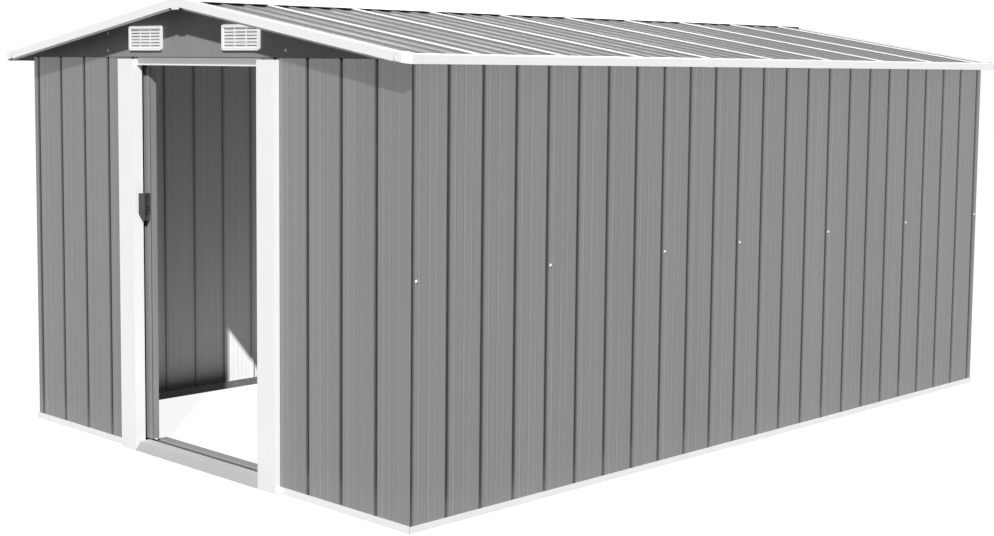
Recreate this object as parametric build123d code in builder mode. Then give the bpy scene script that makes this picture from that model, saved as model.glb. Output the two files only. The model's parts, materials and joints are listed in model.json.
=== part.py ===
"""Metal storage shed with a ribbed sheet shell, a low gable roof and a pair of sliding doors.

Millimetres, +Z up. The origin is on the ground, under the middle of the shed. The doorway
faces -Y, the ridge runs along Y, and the left door is the one at -X.
"""

import math
import os

from build123d import *

# Shell
wall_width = 2410.0
wall_depth = 3790.0
sheet = 1.0
sheet_top = 1585.0
gable_lap = 7.0
gable_sheet = 1.0

# Ribs of the wall sheets, measured along the wall from the middle of a groove
groove_depth = 9.0
groove_floor_half = 5.0
groove_left = 7.0
groove_right = 9.0
bead_offset = 33.0
bead_half = 3.5
bead_height = 1.6
crease_offset = 74.0
crease_half = 5.0
crease_depth = 1.4
soft_bead_offset = 111.0
soft_bead_half = 4.0
soft_bead_height = 1.0
side_rib_pitch = 163.0
front_rib_pitch = 183.4
front_groove_first = 35.0
side_panel_ribs = (4, 4, 3, 4, 4, 4)
rear_panel_ribs = (4, 5, 4)

# Roof
eave_overhang = 80.0
roof_overhang = 95.0
roof_pitch = 9.2
head_gap = 4.8
roof_sheet = 1.0
roof_seam_pitch = 424.0
roof_front_strip = 377.0
roof_strips = 10
roof_seam_height = 10.0
roof_seam_base = 18.0
roof_seam_top = 12.0
roof_rib_height = 7.0
roof_rib_base = 16.0
roof_rib_top = 9.0
roof_ribs_per_strip = 4
roof_ridge_gap = 6.0
roof_strip_gap = 0.4

# White trims
trim_sheet = 1.2
trim_lift = 0.3
rake_face = 32.0
rake_flange = 36.0
eave_face = 30.0
eave_flange = 30.0
eave_hem = 10.0
ridge_cap_wing = 90.0
ridge_cap_neck = 30.0
ridge_cap_end = 38.0
corner_cap_length = 60.0
corner_cap_chamfer = 25.0
trim_joint = 0.4

# Rails
rail_sheet = 1.5
rail_width = 45.0
rail_outer_height = 25.0
rail_inner_height = 35.0
rail_proud = 4.0
rail_joint = 0.4
top_rail_drop = 14.0
top_rail_shelf = 35.0
plate_shelf = 45.0

# Roof beams
ridge_beam_half = 20.0
ridge_beam_depth = 42.0
purlin_offsets = (430.0, 820.0)
purlin_flange = 30.0
purlin_depth = 40.0

# Doorway
doorway_half = 403.0
jamb_face = 104.0
jamb_proud = 25.0
jamb_return = 45.0
jamb_sheet = 1.2
jamb_drop = 15.0
wall_lap_under_jamb = 10.0
header_drop = 39.0
header_lip = 4.0
header_hem = 5.0
ramp_reach = 58.0
ramp_spare = 17.0
ramp_end_taper = 22.0
ramp_sheet = 1.2
ramp_shelf = 6.0

# Sliding doors
leaf_show = 27.0
leaf_meeting_gap = 4.0
leaf_lap = 25.0
leaf_head_gap = 8.0
leaf_foot_gap = 12.0
leaf_frame_front = 42.0
leaf_frame_depth = 25.0
leaf_stile = 38.0
leaf_rail = 45.0
leaf_wall = 1.5
leaf_panel_relief = 6.0
leaf_panel_sheet = 1.0
leaf_rib_pitch = 106.0

# Door tracks and slides
track_spare = 15.0
track_sheet = 1.5
track_height = 29.0
track_slot = 17.0
track_lip = 16.0
lower_track_width = 28.0
lower_track_height = 30.0
slide_length = 42.0
slide_neck = 4.0
slide_block_width = 29.0
slide_block_height = 16.0
slide_inset = 60.0
slide_rest = 0.3
shoe_width = 14.0
shoe_floor_gap = 8.0

# Handles
handle_bottom = 914.0
handle_height = 116.0
handle_width = 22.0
handle_reach = 42.0
handle_slant = 14.0
handle_front_chamfer = 36.0
handle_rear_chamfer = 32.0
handle_rear_inset = 9.0

# Vents
vent_width = 228.0
vent_height = 95.0
vent_depth = 8.0
vent_corner = 10.0
vent_centres = (-335.0, 286.0)
vent_head_gap = 14.2
vent_rim = 14.0
vent_columns = 3
vent_rows = 6
vent_column_bar = 8.0
vent_slot_height = 6.5
vent_hole_margin = 9.0

# Places worked out from the sizes above
half_width = wall_width / 2
half_depth = wall_depth / 2
front = -half_depth
gable_bottom = sheet_top - gable_lap
header_bottom = sheet_top - header_drop
roof_half_width = half_width + eave_overhang
roof_front = front - roof_overhang
slope = math.tan(math.radians(roof_pitch))
cos_slope = math.cos(math.radians(roof_pitch))
pan_under = sheet_top + head_gap + slope * half_width
pan_top = pan_under + roof_sheet / cos_slope
trim_under = pan_top + (roof_seam_height + trim_lift) / cos_slope
trim_top = trim_under + trim_sheet / cos_slope
leaf_bottom = lower_track_height + leaf_foot_gap
leaf_top = header_bottom - leaf_head_gap
leaf_lead_open = doorway_half - leaf_show
leaf_width = doorway_half - leaf_meeting_gap + leaf_lap
track_top = header_bottom + track_height
track_half_length = leaf_lead_open + leaf_width + track_spare
leaf_middle = leaf_frame_front + leaf_frame_depth / 2
side_groove_first = sheet + groove_floor_half
gable_inner = half_depth + bead_height


def roof_line(level, x):
    """Height at x of a plane that runs parallel to the roof and has this height at the ridge."""
    return level - slope * abs(x)


def rib_points(grooves):
    """Corners of a ribbed sheet's outer face as (along, inward) for grooves at these places."""
    shape = (
        (-groove_left, 0.0),
        (-groove_floor_half, groove_depth),
        (groove_floor_half, groove_depth),
        (groove_right, 0.0),
        (bead_offset - bead_half, 0.0),
        (bead_offset, -bead_height),
        (bead_offset + bead_half, 0.0),
        (crease_offset - crease_half, 0.0),
        (crease_offset, crease_depth),
        (crease_offset + crease_half, 0.0),
        (soft_bead_offset - soft_bead_half, 0.0),
        (soft_bead_offset, -soft_bead_height),
        (soft_bead_offset + soft_bead_half, 0.0),
    )
    return [(groove + along, inward) for groove in grooves for along, inward in shape]


def clipped(points, low, high):
    """The stretch of a line of points between two places along it, with its cut ends."""
    kept = []
    line = [(low - 1000.0, 0.0)] + points + [(high + 1000.0, 0.0)]
    for (a, depth_a), (b, depth_b) in zip(line, line[1:]):
        for place in (low, high):
            if a <= place < b:
                kept.append((place, depth_a + (depth_b - depth_a) * (place - a) / (b - a)))
        if low < b < high:
            kept.append((b, depth_b))
    return kept


def save(part, name):
    """Label a finished piece and write it as its own file."""
    part.label = name
    export_step(part, f"parts/{name}.step")


def folded_sheet(plane, points, thickness, length, side=Side.LEFT):
    """Extrude a folded sheet of even thickness whose one face follows these points."""
    with BuildPart() as folded:
        with BuildSketch(plane):
            with BuildLine():
                Polyline(points)
                offset(amount=thickness, side=side, kind=Kind.INTERSECTION)
            make_face()
        extrude(amount=length)
    return folded.part


def wall_piece(corner, along, inward, low, high, grooves, bottom, top):
    """A ribbed wall sheet from low to high along a wall that starts at a corner."""
    plane = Plane(origin=(corner[0], corner[1], bottom), x_dir=along, z_dir=(0, 0, 1))
    turn = along[0] * inward[1] - along[1] * inward[0]
    points = [(u, d * turn) for u, d in clipped(rib_points(grooves), low, high)]
    side = Side.LEFT if turn > 0 else Side.RIGHT
    return folded_sheet(plane, points, sheet, top - bottom, side)


os.makedirs("parts", exist_ok=True)

# Base rails: a channel round the foot of the walls, mitred at the corners
rail_half_x = half_width + rail_proud
rail_half_y = half_depth + rail_proud
rail_outline = [
    (0.0, 0.0),
    (rail_width, 0.0),
    (rail_width, rail_inner_height),
    (rail_width - rail_sheet, rail_inner_height),
    (rail_width - rail_sheet, rail_sheet),
    (rail_sheet, rail_sheet),
    (rail_sheet, rail_outer_height),
    (0.0, rail_outer_height),
]
for name, outward, reach, half_length in (
    ("base_rail_front", (0, -1, 0), rail_half_y, rail_half_x),
    ("base_rail_rear", (0, 1, 0), rail_half_y, rail_half_x),
    ("base_rail_left", (-1, 0, 0), rail_half_x, rail_half_y),
    ("base_rail_right", (1, 0, 0), rail_half_x, rail_half_y),
):
    face = Vector(outward)
    run = (-face).cross(Vector(0, 0, 1))
    start = face * reach - run * half_length
    section = Plane(origin=start, x_dir=-face, z_dir=run)
    with BuildPart() as base_rail:
        with BuildSketch(section):
            with BuildLine():
                Polyline(rail_outline, close=True)
            make_face()
        extrude(amount=2 * half_length)
        for end in (-1, 1):
            corner = face * reach + run * (end * half_length)
            mitre = Plane(origin=corner, z_dir=run * end - face)
            split(bisect_by=mitre, keep=Keep.BOTTOM)
    save(base_rail.part, name)

# Side walls: six sheets a side, each starting at a groove, with the seam in the groove
wall_bottom = rail_sheet
side_low = sheet
side_high = wall_depth - sheet
side_grooves = [
    side_groove_first + side_rib_pitch * k for k in range(sum(side_panel_ribs) + 1)
]
for side_name, sign in (("right", 1), ("left", -1)):
    rib = 0
    for number, ribs in enumerate(side_panel_ribs, start=1):
        low = side_low if rib == 0 else side_grooves[rib]
        rib += ribs
        last = number == len(side_panel_ribs)
        high = side_high if last else side_grooves[rib]
        panel = wall_piece(
            (sign * half_width, front), (0, 1), (-sign, 0), low, high, side_grooves,
            wall_bottom, sheet_top,
        )
        save(panel, f"{side_name}_wall_panel_{number}")

# Front wall: one ribbed sheet each side of the doorway, its edge under the jamb
front_groove_count = int((wall_width - front_groove_first) / front_rib_pitch) + 1
front_grooves = [front_groove_first + front_rib_pitch * k for k in range(front_groove_count)]
doorway_edge = doorway_half + wall_lap_under_jamb
for name, low, high in (
    ("front_wall_left", 0.0, half_width - doorway_edge),
    ("front_wall_right", half_width + doorway_edge, wall_width),
):
    panel = wall_piece(
        (-half_width, front), (1, 0), (0, 1), low, high, front_grooves, wall_bottom, sheet_top
    )
    save(panel, name)

# Rear wall: three sheets across
rib = 0
for number, ribs in enumerate(rear_panel_ribs, start=1):
    low = 0.0 if rib == 0 else front_grooves[rib]
    rib += ribs
    last = number == len(rear_panel_ribs)
    high = wall_width if last else front_grooves[rib]
    panel = wall_piece(
        (half_width, -front), (-1, 0), (0, -1), low, high, front_grooves, wall_bottom, sheet_top
    )
    save(panel, f"rear_wall_panel_{number}")

# Top rails: an angle along the head of each wall; the side ones slope with the roof
rail_web = sheet + groove_depth
with BuildPart() as top_rails:
    for sign in (-1, 1):
        with BuildSketch(Plane.XZ.offset(half_depth - sheet)):
            with BuildLine():
                web = half_width - rail_web
                Polyline(
                    [
                        (sign * web, sheet_top - top_rail_drop),
                        (sign * web, roof_line(pan_under, web) - rail_sheet / cos_slope),
                        (
                            sign * half_width,
                            roof_line(pan_under, half_width) - rail_sheet / cos_slope,
                        ),
                        (sign * half_width, roof_line(pan_under, half_width)),
                        (sign * (half_width - plate_shelf),
                         roof_line(pan_under, half_width - plate_shelf)),
                        (
                            sign * (half_width - plate_shelf),
                            roof_line(pan_under, half_width - plate_shelf)
                            - rail_sheet / cos_slope,
                        ),
                        (
                            sign * (web - rail_sheet),
                            roof_line(pan_under, web - rail_sheet) - rail_sheet / cos_slope,
                        ),
                        (sign * (web - rail_sheet), sheet_top - top_rail_drop),
                    ],
                    close=True,
                )
            make_face()
        extrude(amount=-2 * (half_depth - sheet))
    for face_y, inward in ((front, 1), (-front, -1)):
        inner = half_width - rail_web - rail_sheet - rail_joint
        shelf_edge = gable_inner * (-inward)
        with BuildSketch(Plane.YZ.offset(-inner)):
            with BuildLine():
                Polyline(
                    [
                        (shelf_edge, sheet_top),
                        (shelf_edge, sheet_top + rail_sheet),
                        (face_y + inward * top_rail_shelf, sheet_top + rail_sheet),
                        (face_y + inward * top_rail_shelf, sheet_top),
                        (face_y + inward * (rail_web + rail_sheet), sheet_top),
                        (face_y + inward * (rail_web + rail_sheet), sheet_top - top_rail_drop),
                        (face_y + inward * rail_web, sheet_top - top_rail_drop),
                        (face_y + inward * rail_web, sheet_top),
                    ],
                    close=True,
                )
            make_face()
        extrude(amount=2 * inner)
save(top_rails.part, "top_rails")

# Gables: flat sheets over the wall heads, open behind the vents
vent_corner_x = max(abs(x) for x in vent_centres) + vent_width / 2
vent_top = roof_line(pan_under, vent_corner_x) - vent_head_gap
vent_places = [(x, vent_top - vent_height / 2) for x in vent_centres]
for name, outer_y, mirror_x in (
    ("front_gable", -gable_inner - gable_sheet, 1),
    ("rear_gable", gable_inner, -1),
):
    with BuildPart() as gable:
        with BuildSketch(Plane.XZ.offset(-outer_y)):
            with BuildLine():
                Polyline(
                    [
                        (-half_width, gable_bottom),
                        (half_width, gable_bottom),
                        (half_width, roof_line(pan_under, half_width)),
                        (0.0, pan_under),
                        (-half_width, roof_line(pan_under, half_width)),
                    ],
                    close=True,
                )
            make_face()
            with Locations(*[(mirror_x * x, z) for x, z in vent_places]):
                Rectangle(
                    vent_width - 2 * vent_hole_margin,
                    vent_height - 2 * vent_hole_margin,
                    mode=Mode.SUBTRACT,
                )
        extrude(amount=-gable_sheet)
    save(gable.part, name)

# Vents: a moulded grille of three columns of slots in a rounded frame
slot_width = (vent_width - 2 * vent_rim - (vent_columns - 1) * vent_column_bar) / vent_columns
slot_pitch_x = slot_width + vent_column_bar
slot_pitch_z = (vent_height - 2 * vent_rim) / vent_rows
with BuildPart() as gable_vents:
    for face_y, outward, mirror_x in (
        (-gable_inner - gable_sheet, 1, 1),
        (gable_inner + gable_sheet, -1, -1),
    ):
        with BuildSketch(Plane.XZ.offset(-face_y)):
            with Locations(*[(mirror_x * x, z) for x, z in vent_places]):
                RectangleRounded(vent_width, vent_height, vent_corner)
            for x, z in vent_places:
                with Locations((mirror_x * x, z)):
                    with GridLocations(slot_pitch_x, slot_pitch_z, vent_columns, vent_rows):
                        Rectangle(slot_width, vent_slot_height, mode=Mode.SUBTRACT)
        extrude(amount=outward * vent_depth)
save(gable_vents.part, "gable_vents")

# Roof beams: a ridge beam and two purlins a side, from gable to gable
with BuildPart() as roof_beams:
    beam_plane = Plane.XZ.offset(gable_inner)
    with BuildSketch(beam_plane):
        with BuildLine():
            edge = roof_line(pan_under, ridge_beam_half)
            Polyline(
                [
                    (-ridge_beam_half, edge - ridge_beam_depth),
                    (-ridge_beam_half, edge),
                    (0.0, pan_under),
                    (ridge_beam_half, edge),
                    (ridge_beam_half, edge - ridge_beam_depth),
                ]
            )
            offset(amount=rail_sheet, side=Side.RIGHT, kind=Kind.INTERSECTION)
        make_face()
    extrude(amount=-2 * gable_inner)
    for sign in (-1, 1):
        for purlin in purlin_offsets:
            with BuildSketch(beam_plane):
                with BuildLine():
                    Polyline(
                        [
                            (sign * (purlin - purlin_flange),
                             roof_line(pan_under, purlin - purlin_flange)),
                            (sign * purlin, roof_line(pan_under, purlin)),
                            (sign * purlin, roof_line(pan_under, purlin) - purlin_depth),
                        ]
                    )
                    offset(
                        amount=rail_sheet,
                        side=Side.RIGHT if sign > 0 else Side.LEFT,
                        kind=Kind.INTERSECTION,
                    )
                make_face()
            extrude(amount=-2 * gable_inner)
save(roof_beams.part, "roof_beams")

# Roof sheets: ten strips a side, each with three low ribs and then a standing seam
sheet_edge = roof_overhang - trim_sheet
roof_low = front - sheet_edge
roof_high = -roof_low
first_seam = roof_front + roof_front_strip
roof_run_x = roof_half_width - trim_sheet - trim_lift - roof_ridge_gap - roof_seam_height * slope
corner_cut = corner_cap_chamfer + trim_sheet * math.sqrt(2) + trim_lift
roof_length = roof_run_x / cos_slope
rib_pitch = roof_seam_pitch / roof_ribs_per_strip
for name, sign in (("roof_left", -1), ("roof_right", 1)):
    with BuildPart() as roof:
        for strip in range(roof_strips):
            seam = first_seam + roof_seam_pitch * strip
            low = roof_low if strip == 0 else seam - roof_seam_pitch + roof_strip_gap
            high = roof_high if strip == roof_strips - 1 else seam
            points = [(low, 0.0)]
            for k in range(1, roof_ribs_per_strip + 1):
                centre = seam - roof_seam_pitch + rib_pitch * k - roof_seam_base / 2
                seam_here = k == roof_ribs_per_strip
                base = roof_seam_base if seam_here else roof_rib_base
                top = roof_seam_top if seam_here else roof_rib_top
                height = roof_seam_height if seam_here else roof_rib_height
                if low < centre - base / 2 and centre + base / 2 <= high + 0.001:
                    points += [
                        (centre - base / 2, 0.0),
                        (centre - top / 2, height),
                        (centre + top / 2, height),
                        (centre + base / 2, 0.0),
                    ]
            if points[-1][0] < high - 0.001:
                points.append((high, 0.0))
            start = (sign * roof_ridge_gap, 0.0, roof_line(pan_top, roof_ridge_gap))
            down = Vector(sign, 0.0, -slope).normalized()
            plane = Plane(origin=start, x_dir=(0, sign, 0), z_dir=down)
            local = [(sign * y, height) for y, height in points]
            with BuildSketch(plane):
                with BuildLine():
                    Polyline(local)
                    offset(
                        amount=roof_sheet,
                        side=Side.RIGHT if sign > 0 else Side.LEFT,
                        kind=Kind.INTERSECTION,
                    )
                make_face()
            extrude(amount=roof_length)
        with BuildSketch(Plane.XY.offset(gable_bottom - eave_face)):
            for end in (-1, 1):
                with BuildLine():
                    Polyline(
                        [
                            (sign * roof_half_width, -end * roof_front),
                            (sign * (roof_half_width - corner_cut), -end * roof_front),
                            (sign * roof_half_width, -end * (roof_front + corner_cut)),
                        ],
                        close=True,
                    )
                make_face()
        extrude(amount=2 * eave_face, mode=Mode.SUBTRACT)
    save(roof.part, name)

# Ridge cap: a folded strip along the ridge, narrowed between the rake trims at each end,
# where a small tab turns down
cap_wing_run = -roof_front - rake_flange - trim_joint
end_foot = ridge_cap_neck - ridge_cap_end * slope
neck_edge = roof_line(trim_under, ridge_cap_neck)
with BuildPart() as ridge_cap:
    for half_run, reach in ((cap_wing_run, ridge_cap_wing), (-roof_front, ridge_cap_neck)):
        edge = roof_line(trim_under, reach)
        with BuildSketch(Plane.XZ.offset(half_run)):
            with BuildLine():
                Polyline([(-reach, edge), (0.0, trim_under), (reach, edge)])
                offset(amount=trim_sheet, side=Side.LEFT, kind=Kind.INTERSECTION)
            make_face()
        extrude(amount=-2 * half_run)
    for plane_y, into in ((roof_front, -1), (-roof_front, 1)):
        with BuildSketch(Plane.XZ.offset(-plane_y)):
            with BuildLine():
                Polyline(
                    [
                        (-ridge_cap_neck, neck_edge),
                        (0.0, trim_under),
                        (ridge_cap_neck, neck_edge),
                        (end_foot, neck_edge - ridge_cap_end),
                        (-end_foot, neck_edge - ridge_cap_end),
                    ],
                    close=True,
                )
            make_face()
        extrude(amount=into * trim_sheet)
save(ridge_cap.part, "ridge_cap")

# Rake trims: an angle up each verge, from the ridge cap to the corner cap
rake_start = ridge_cap_neck + trim_joint
rake_end = roof_half_width - corner_cap_length
with BuildPart() as rake_trims:
    for end in (-1, 1):
        for sign in (-1, 1):
            start = Vector(sign * rake_start, end * (half_depth + roof_overhang),
                           roof_line(trim_top, rake_start))
            down = Vector(sign, 0.0, -slope).normalized()
            inward = Vector(0, -end, 0)
            plane = Plane(origin=start, x_dir=inward, z_dir=down)
            up = plane.y_dir.Z > 0
            drop = -1 if up else 1
            with BuildSketch(plane):
                with BuildLine():
                    Polyline([(rake_flange, 0.0), (0.0, 0.0), (0.0, drop * rake_face)])
                    offset(
                        amount=trim_sheet,
                        side=Side.LEFT if up else Side.RIGHT,
                        kind=Kind.INTERSECTION,
                    )
                make_face()
            extrude(amount=(rake_end - rake_start) / cos_slope)
save(rake_trims.part, "rake_trims")

# Eave trims: a fascia with a flange over the sheets and a hem below
eave_run = half_depth + roof_overhang - corner_cap_length
eave_top = roof_line(trim_top, roof_half_width)
for name, sign in (("eave_trim_left", -1), ("eave_trim_right", 1)):
    with BuildPart() as eave_trim:
        with BuildSketch(Plane.XZ.offset(eave_run)):
            with BuildLine():
                Polyline(
                    [
                        (sign * (roof_half_width - eave_flange),
                         roof_line(trim_top, roof_half_width - eave_flange)),
                        (sign * roof_half_width, eave_top),
                        (sign * roof_half_width, eave_top - eave_face),
                        (sign * (roof_half_width - eave_hem), eave_top - eave_face),
                    ]
                )
                offset(
                    amount=trim_sheet,
                    side=Side.RIGHT if sign > 0 else Side.LEFT,
                    kind=Kind.INTERSECTION,
                )
            make_face()
        extrude(amount=-2 * eave_run)
    save(eave_trim.part, name)

# Corner caps: a chamfered cap over each meeting of rake and eave trim
cap_low = eave_top - eave_face
cap_reach_y = half_depth + roof_overhang


def cap_outline(inset, spare):
    """Plan of a corner cap, drawn for the corner at +X and +Y, set in from its outer faces."""
    cut = corner_cap_chamfer + inset * (math.sqrt(2) - 1)
    inner_x = roof_half_width - corner_cap_length + trim_joint - spare
    inner_y = cap_reach_y - corner_cap_length + trim_joint - spare
    return [
        (inner_x, inner_y),
        (inner_x, cap_reach_y - inset),
        (roof_half_width - cut, cap_reach_y - inset),
        (roof_half_width - inset, cap_reach_y - cut),
        (roof_half_width - inset, inner_y),
    ]


with BuildPart() as eave_corner_caps:
    for end in (-1, 1):
        for sign in (-1, 1):
            pieces = []
            for inset, spare, level in ((0.0, 0.0, trim_top), (trim_sheet, 5.0, trim_under)):
                outline = [(sign * x, end * y) for x, y in cap_outline(inset, spare)]
                roof_plane = Plane(
                    origin=(sign * roof_half_width, 0, roof_line(level, roof_half_width)),
                    z_dir=(sign * slope, 0, 1),
                )
                with BuildPart(mode=Mode.PRIVATE) as block:
                    with BuildSketch(Plane.XY.offset(cap_low)):
                        with BuildLine():
                            Polyline(outline, close=True)
                        make_face()
                    extrude(amount=2 * eave_face)
                    split(bisect_by=roof_plane, keep=Keep.BOTTOM)
                pieces.append(block.part)
            add(pieces[0] - pieces[1])
save(eave_corner_caps.part, "eave_corner_caps")

# Jambs: a white channel each side of the doorway, proud of the wall
for name, sign in (("door_jamb_left", -1), ("door_jamb_right", 1)):
    face_y = front - jamb_proud
    jamb_outer = doorway_half + jamb_face
    with BuildPart() as jamb:
        with BuildSketch(Plane.XY.offset(rail_outer_height)):
            with BuildLine():
                Polyline(
                    [
                        (sign * doorway_half, face_y + jamb_return),
                        (sign * doorway_half, face_y),
                        (sign * jamb_outer, face_y),
                        (sign * jamb_outer, front - bead_height),
                    ]
                )
                offset(
                    amount=jamb_sheet,
                    side=Side.LEFT if sign > 0 else Side.RIGHT,
                    kind=Kind.INTERSECTION,
                )
            make_face()
        extrude(amount=sheet_top - jamb_drop - rail_outer_height)
    save(jamb.part, name)

# Header: the strip over the doorway with a bright turned-out lower edge
with BuildPart() as door_header:
    with BuildSketch(Plane.YZ.offset(-doorway_half)):
        with BuildLine():
            Polyline(
                [
                    (front, sheet_top),
                    (front, header_bottom + header_hem),
                    (front - header_lip, header_bottom + header_hem),
                    (front - header_lip, header_bottom),
                    (front + jamb_sheet, header_bottom),
                    (front + jamb_sheet, sheet_top),
                ],
                close=True,
            )
        make_face()
    extrude(amount=2 * doorway_half)
save(door_header.part, "door_header")

# Upper track: a lipped channel under the top rail that both doors hang from
leaf_y = front + leaf_middle
track_front = leaf_y - track_slot / 2 - track_lip - track_sheet
track_back = leaf_y + track_slot / 2 + track_lip + track_sheet
track_bottom = header_bottom
rail_back = front + rail_web + rail_sheet
with BuildPart() as upper_door_track:
    with BuildSketch(Plane.YZ.offset(-track_half_length)):
        with BuildLine():
            Polyline(
                [
                    (rail_back, track_top),
                    (track_back, track_top),
                    (track_back, track_bottom),
                    (leaf_y + track_slot / 2, track_bottom),
                    (leaf_y + track_slot / 2, track_bottom + track_sheet),
                    (track_back - track_sheet, track_bottom + track_sheet),
                    (track_back - track_sheet, track_top - track_sheet),
                    (track_front + track_sheet, track_top - track_sheet),
                    (track_front + track_sheet, track_bottom + track_sheet),
                    (leaf_y - track_slot / 2, track_bottom + track_sheet),
                    (leaf_y - track_slot / 2, track_bottom),
                    (track_front, track_bottom),
                    (track_front, track_top - track_sheet),
                    (rail_back, track_top - track_sheet),
                ],
                close=True,
            )
        make_face()
    extrude(amount=2 * track_half_length)
save(upper_door_track.part, "upper_door_track")

# Lower track: a channel behind the base rail that keeps the doors' feet in line
lower_front = front - rail_proud + rail_width
with BuildPart() as lower_door_track:
    with BuildSketch(Plane.YZ.offset(-track_half_length)):
        with BuildLine():
            Polyline(
                [
                    (lower_front, lower_track_height),
                    (lower_front, 0.0),
                    (lower_front + lower_track_width, 0.0),
                    (lower_front + lower_track_width, lower_track_height),
                ]
            )
            offset(amount=track_sheet, side=Side.LEFT, kind=Kind.INTERSECTION)
        make_face()
    extrude(amount=2 * track_half_length)
save(lower_door_track.part, "lower_door_track")

# Ramp: a sill plate from the ground up to the front base rail, narrower at its foot
ramp_rear = front - rail_proud
ramp_half = doorway_half + ramp_spare
ramp_top = rail_outer_height - slide_rest
with BuildPart() as door_ramp:
    with BuildSketch(Plane.YZ.offset(-ramp_half)):
        with BuildLine():
            Polyline(
                [
                    (ramp_rear, ramp_top),
                    (ramp_rear - ramp_shelf, ramp_top),
                    (ramp_rear - ramp_reach, ramp_sheet),
                    (ramp_rear - ramp_reach, 0.0),
                    (ramp_rear - ramp_reach + ramp_shelf, 0.0),
                    (ramp_rear - ramp_shelf, ramp_top - ramp_sheet),
                    (ramp_rear, ramp_top - ramp_sheet),
                ],
                close=True,
            )
        make_face()
    extrude(amount=2 * ramp_half)
    for sign in (-1, 1):
        end_plane = Plane(
            origin=(sign * ramp_half, ramp_rear, 0),
            z_dir=(sign * ramp_reach, -ramp_end_taper, 0),
        )
        split(bisect_by=end_plane, keep=Keep.BOTTOM)
save(door_ramp.part, "door_ramp")

# Door leaves, stored open as a pair; the left one is drawn and the right one mirrored
leaf_height = leaf_top - leaf_bottom
frame_front = front + leaf_frame_front
frame_back = frame_front + leaf_frame_depth
lead = -leaf_lead_open
trail = lead - leaf_width
leaf_x = (lead + trail) / 2
leaf_z = (leaf_top + leaf_bottom) / 2
light_width = leaf_width - 2 * leaf_stile
light_height = (leaf_height - 3 * leaf_rail) / 2
light_offset = (light_height + leaf_rail) / 2

with BuildPart() as left_frame:
    with BuildSketch(Plane.XZ.offset(-frame_front)):
        with Locations((leaf_x, leaf_z)):
            Rectangle(leaf_width, leaf_height)
        with Locations((leaf_x, leaf_z - light_offset), (leaf_x, leaf_z + light_offset)):
            Rectangle(light_width, light_height, mode=Mode.SUBTRACT)
    extrude(amount=-leaf_frame_depth)
    with BuildSketch(Plane.XZ.offset(-frame_front - leaf_wall)):
        with Locations((leaf_x, leaf_z)):
            Rectangle(leaf_width - 2 * leaf_wall, leaf_height - 2 * leaf_wall)
        with Locations((leaf_x, leaf_z - light_offset), (leaf_x, leaf_z + light_offset)):
            Rectangle(
                light_width + 2 * leaf_wall, light_height + 2 * leaf_wall, mode=Mode.SUBTRACT
            )
    extrude(amount=leaf_wall - leaf_frame_depth, mode=Mode.SUBTRACT)

panel_grooves = [
    leaf_rib_pitch / 2 + leaf_rib_pitch * k for k in range(int(leaf_width / leaf_rib_pitch))
]
with BuildPart() as left_panel:
    with BuildSketch(Plane(origin=(trail, frame_front, leaf_bottom), x_dir=(1, 0, 0),
                           z_dir=(0, 0, 1))):
        with BuildLine():
            ribs = [(0.0, -leaf_panel_relief)]
            for groove in panel_grooves:
                ribs += [
                    (groove - groove_left, -leaf_panel_relief),
                    (groove - groove_floor_half, -leaf_panel_sheet),
                    (groove + groove_floor_half, -leaf_panel_sheet),
                    (groove + groove_right, -leaf_panel_relief),
                ]
            ribs.append((leaf_width, -leaf_panel_relief))
            Polyline(ribs)
            offset(amount=leaf_panel_sheet, side=Side.LEFT, kind=Kind.INTERSECTION)
        make_face()
    extrude(amount=leaf_height)

# Slides: plastic hangers in the upper track and shoes in the lower track
slide_x = (trail + slide_inset, lead - slide_inset)
lip_top = track_bottom + track_sheet
with BuildPart() as left_slides:
    for x in slide_x:
        with BuildSketch(Plane.YZ.offset(x - slide_length / 2)):
            with BuildLine():
                Polyline(
                    [
                        (leaf_y - slide_neck / 2, leaf_top),
                        (leaf_y + slide_neck / 2, leaf_top),
                        (leaf_y + slide_neck / 2, lip_top + slide_rest),
                        (leaf_y + slide_block_width / 2, lip_top + slide_rest),
                        (leaf_y + slide_block_width / 2, lip_top + slide_block_height),
                        (leaf_y - slide_block_width / 2, lip_top + slide_block_height),
                        (leaf_y - slide_block_width / 2, lip_top + slide_rest),
                        (leaf_y - slide_neck / 2, lip_top + slide_rest),
                    ],
                    close=True,
                )
            make_face()
        extrude(amount=slide_length)
        with BuildSketch(Plane.YZ.offset(x - slide_length / 2)):
            with Locations((leaf_y, (leaf_bottom + shoe_floor_gap) / 2)):
                Rectangle(shoe_width, leaf_bottom - shoe_floor_gap)
        extrude(amount=slide_length)

# Handle: a black grip on the leading edge, its front face slanted and its foot chamfered
handle_back = frame_front - leaf_panel_relief
handle_front = handle_back - handle_reach
with BuildPart() as left_handle:
    with BuildSketch(Plane.YZ.offset(lead)):
        with BuildLine():
            Polyline(
                [
                    (handle_back, handle_bottom + handle_rear_chamfer),
                    (handle_back, handle_bottom + handle_height),
                    (handle_front, handle_bottom + handle_height),
                    (handle_front, handle_bottom + handle_front_chamfer),
                    (handle_front + handle_slant, handle_bottom),
                    (handle_back - handle_rear_inset, handle_bottom),
                ],
                close=True,
            )
        make_face()
    extrude(amount=-handle_width)
    slanted_face = Plane(
        origin=(lead, handle_front + handle_slant, 0),
        z_dir=(handle_slant, -handle_width, 0),
    )
    split(bisect_by=slanted_face, keep=Keep.BOTTOM)

for name, piece in (
    ("door_frame", left_frame.part),
    ("door_panel", left_panel.part),
    ("door_slides", left_slides.part),
    ("door_handle", left_handle.part),
):
    save(piece, f"left_{name}")
    save(mirror(piece, about=Plane.YZ), f"right_{name}")
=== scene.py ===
"""Looks of the metal storage shed: finishes, small fittings, floor, light and camera.

Metres, +Z up. The doorway faces -Y and the ridge runs along Y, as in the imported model.
"""

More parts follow.
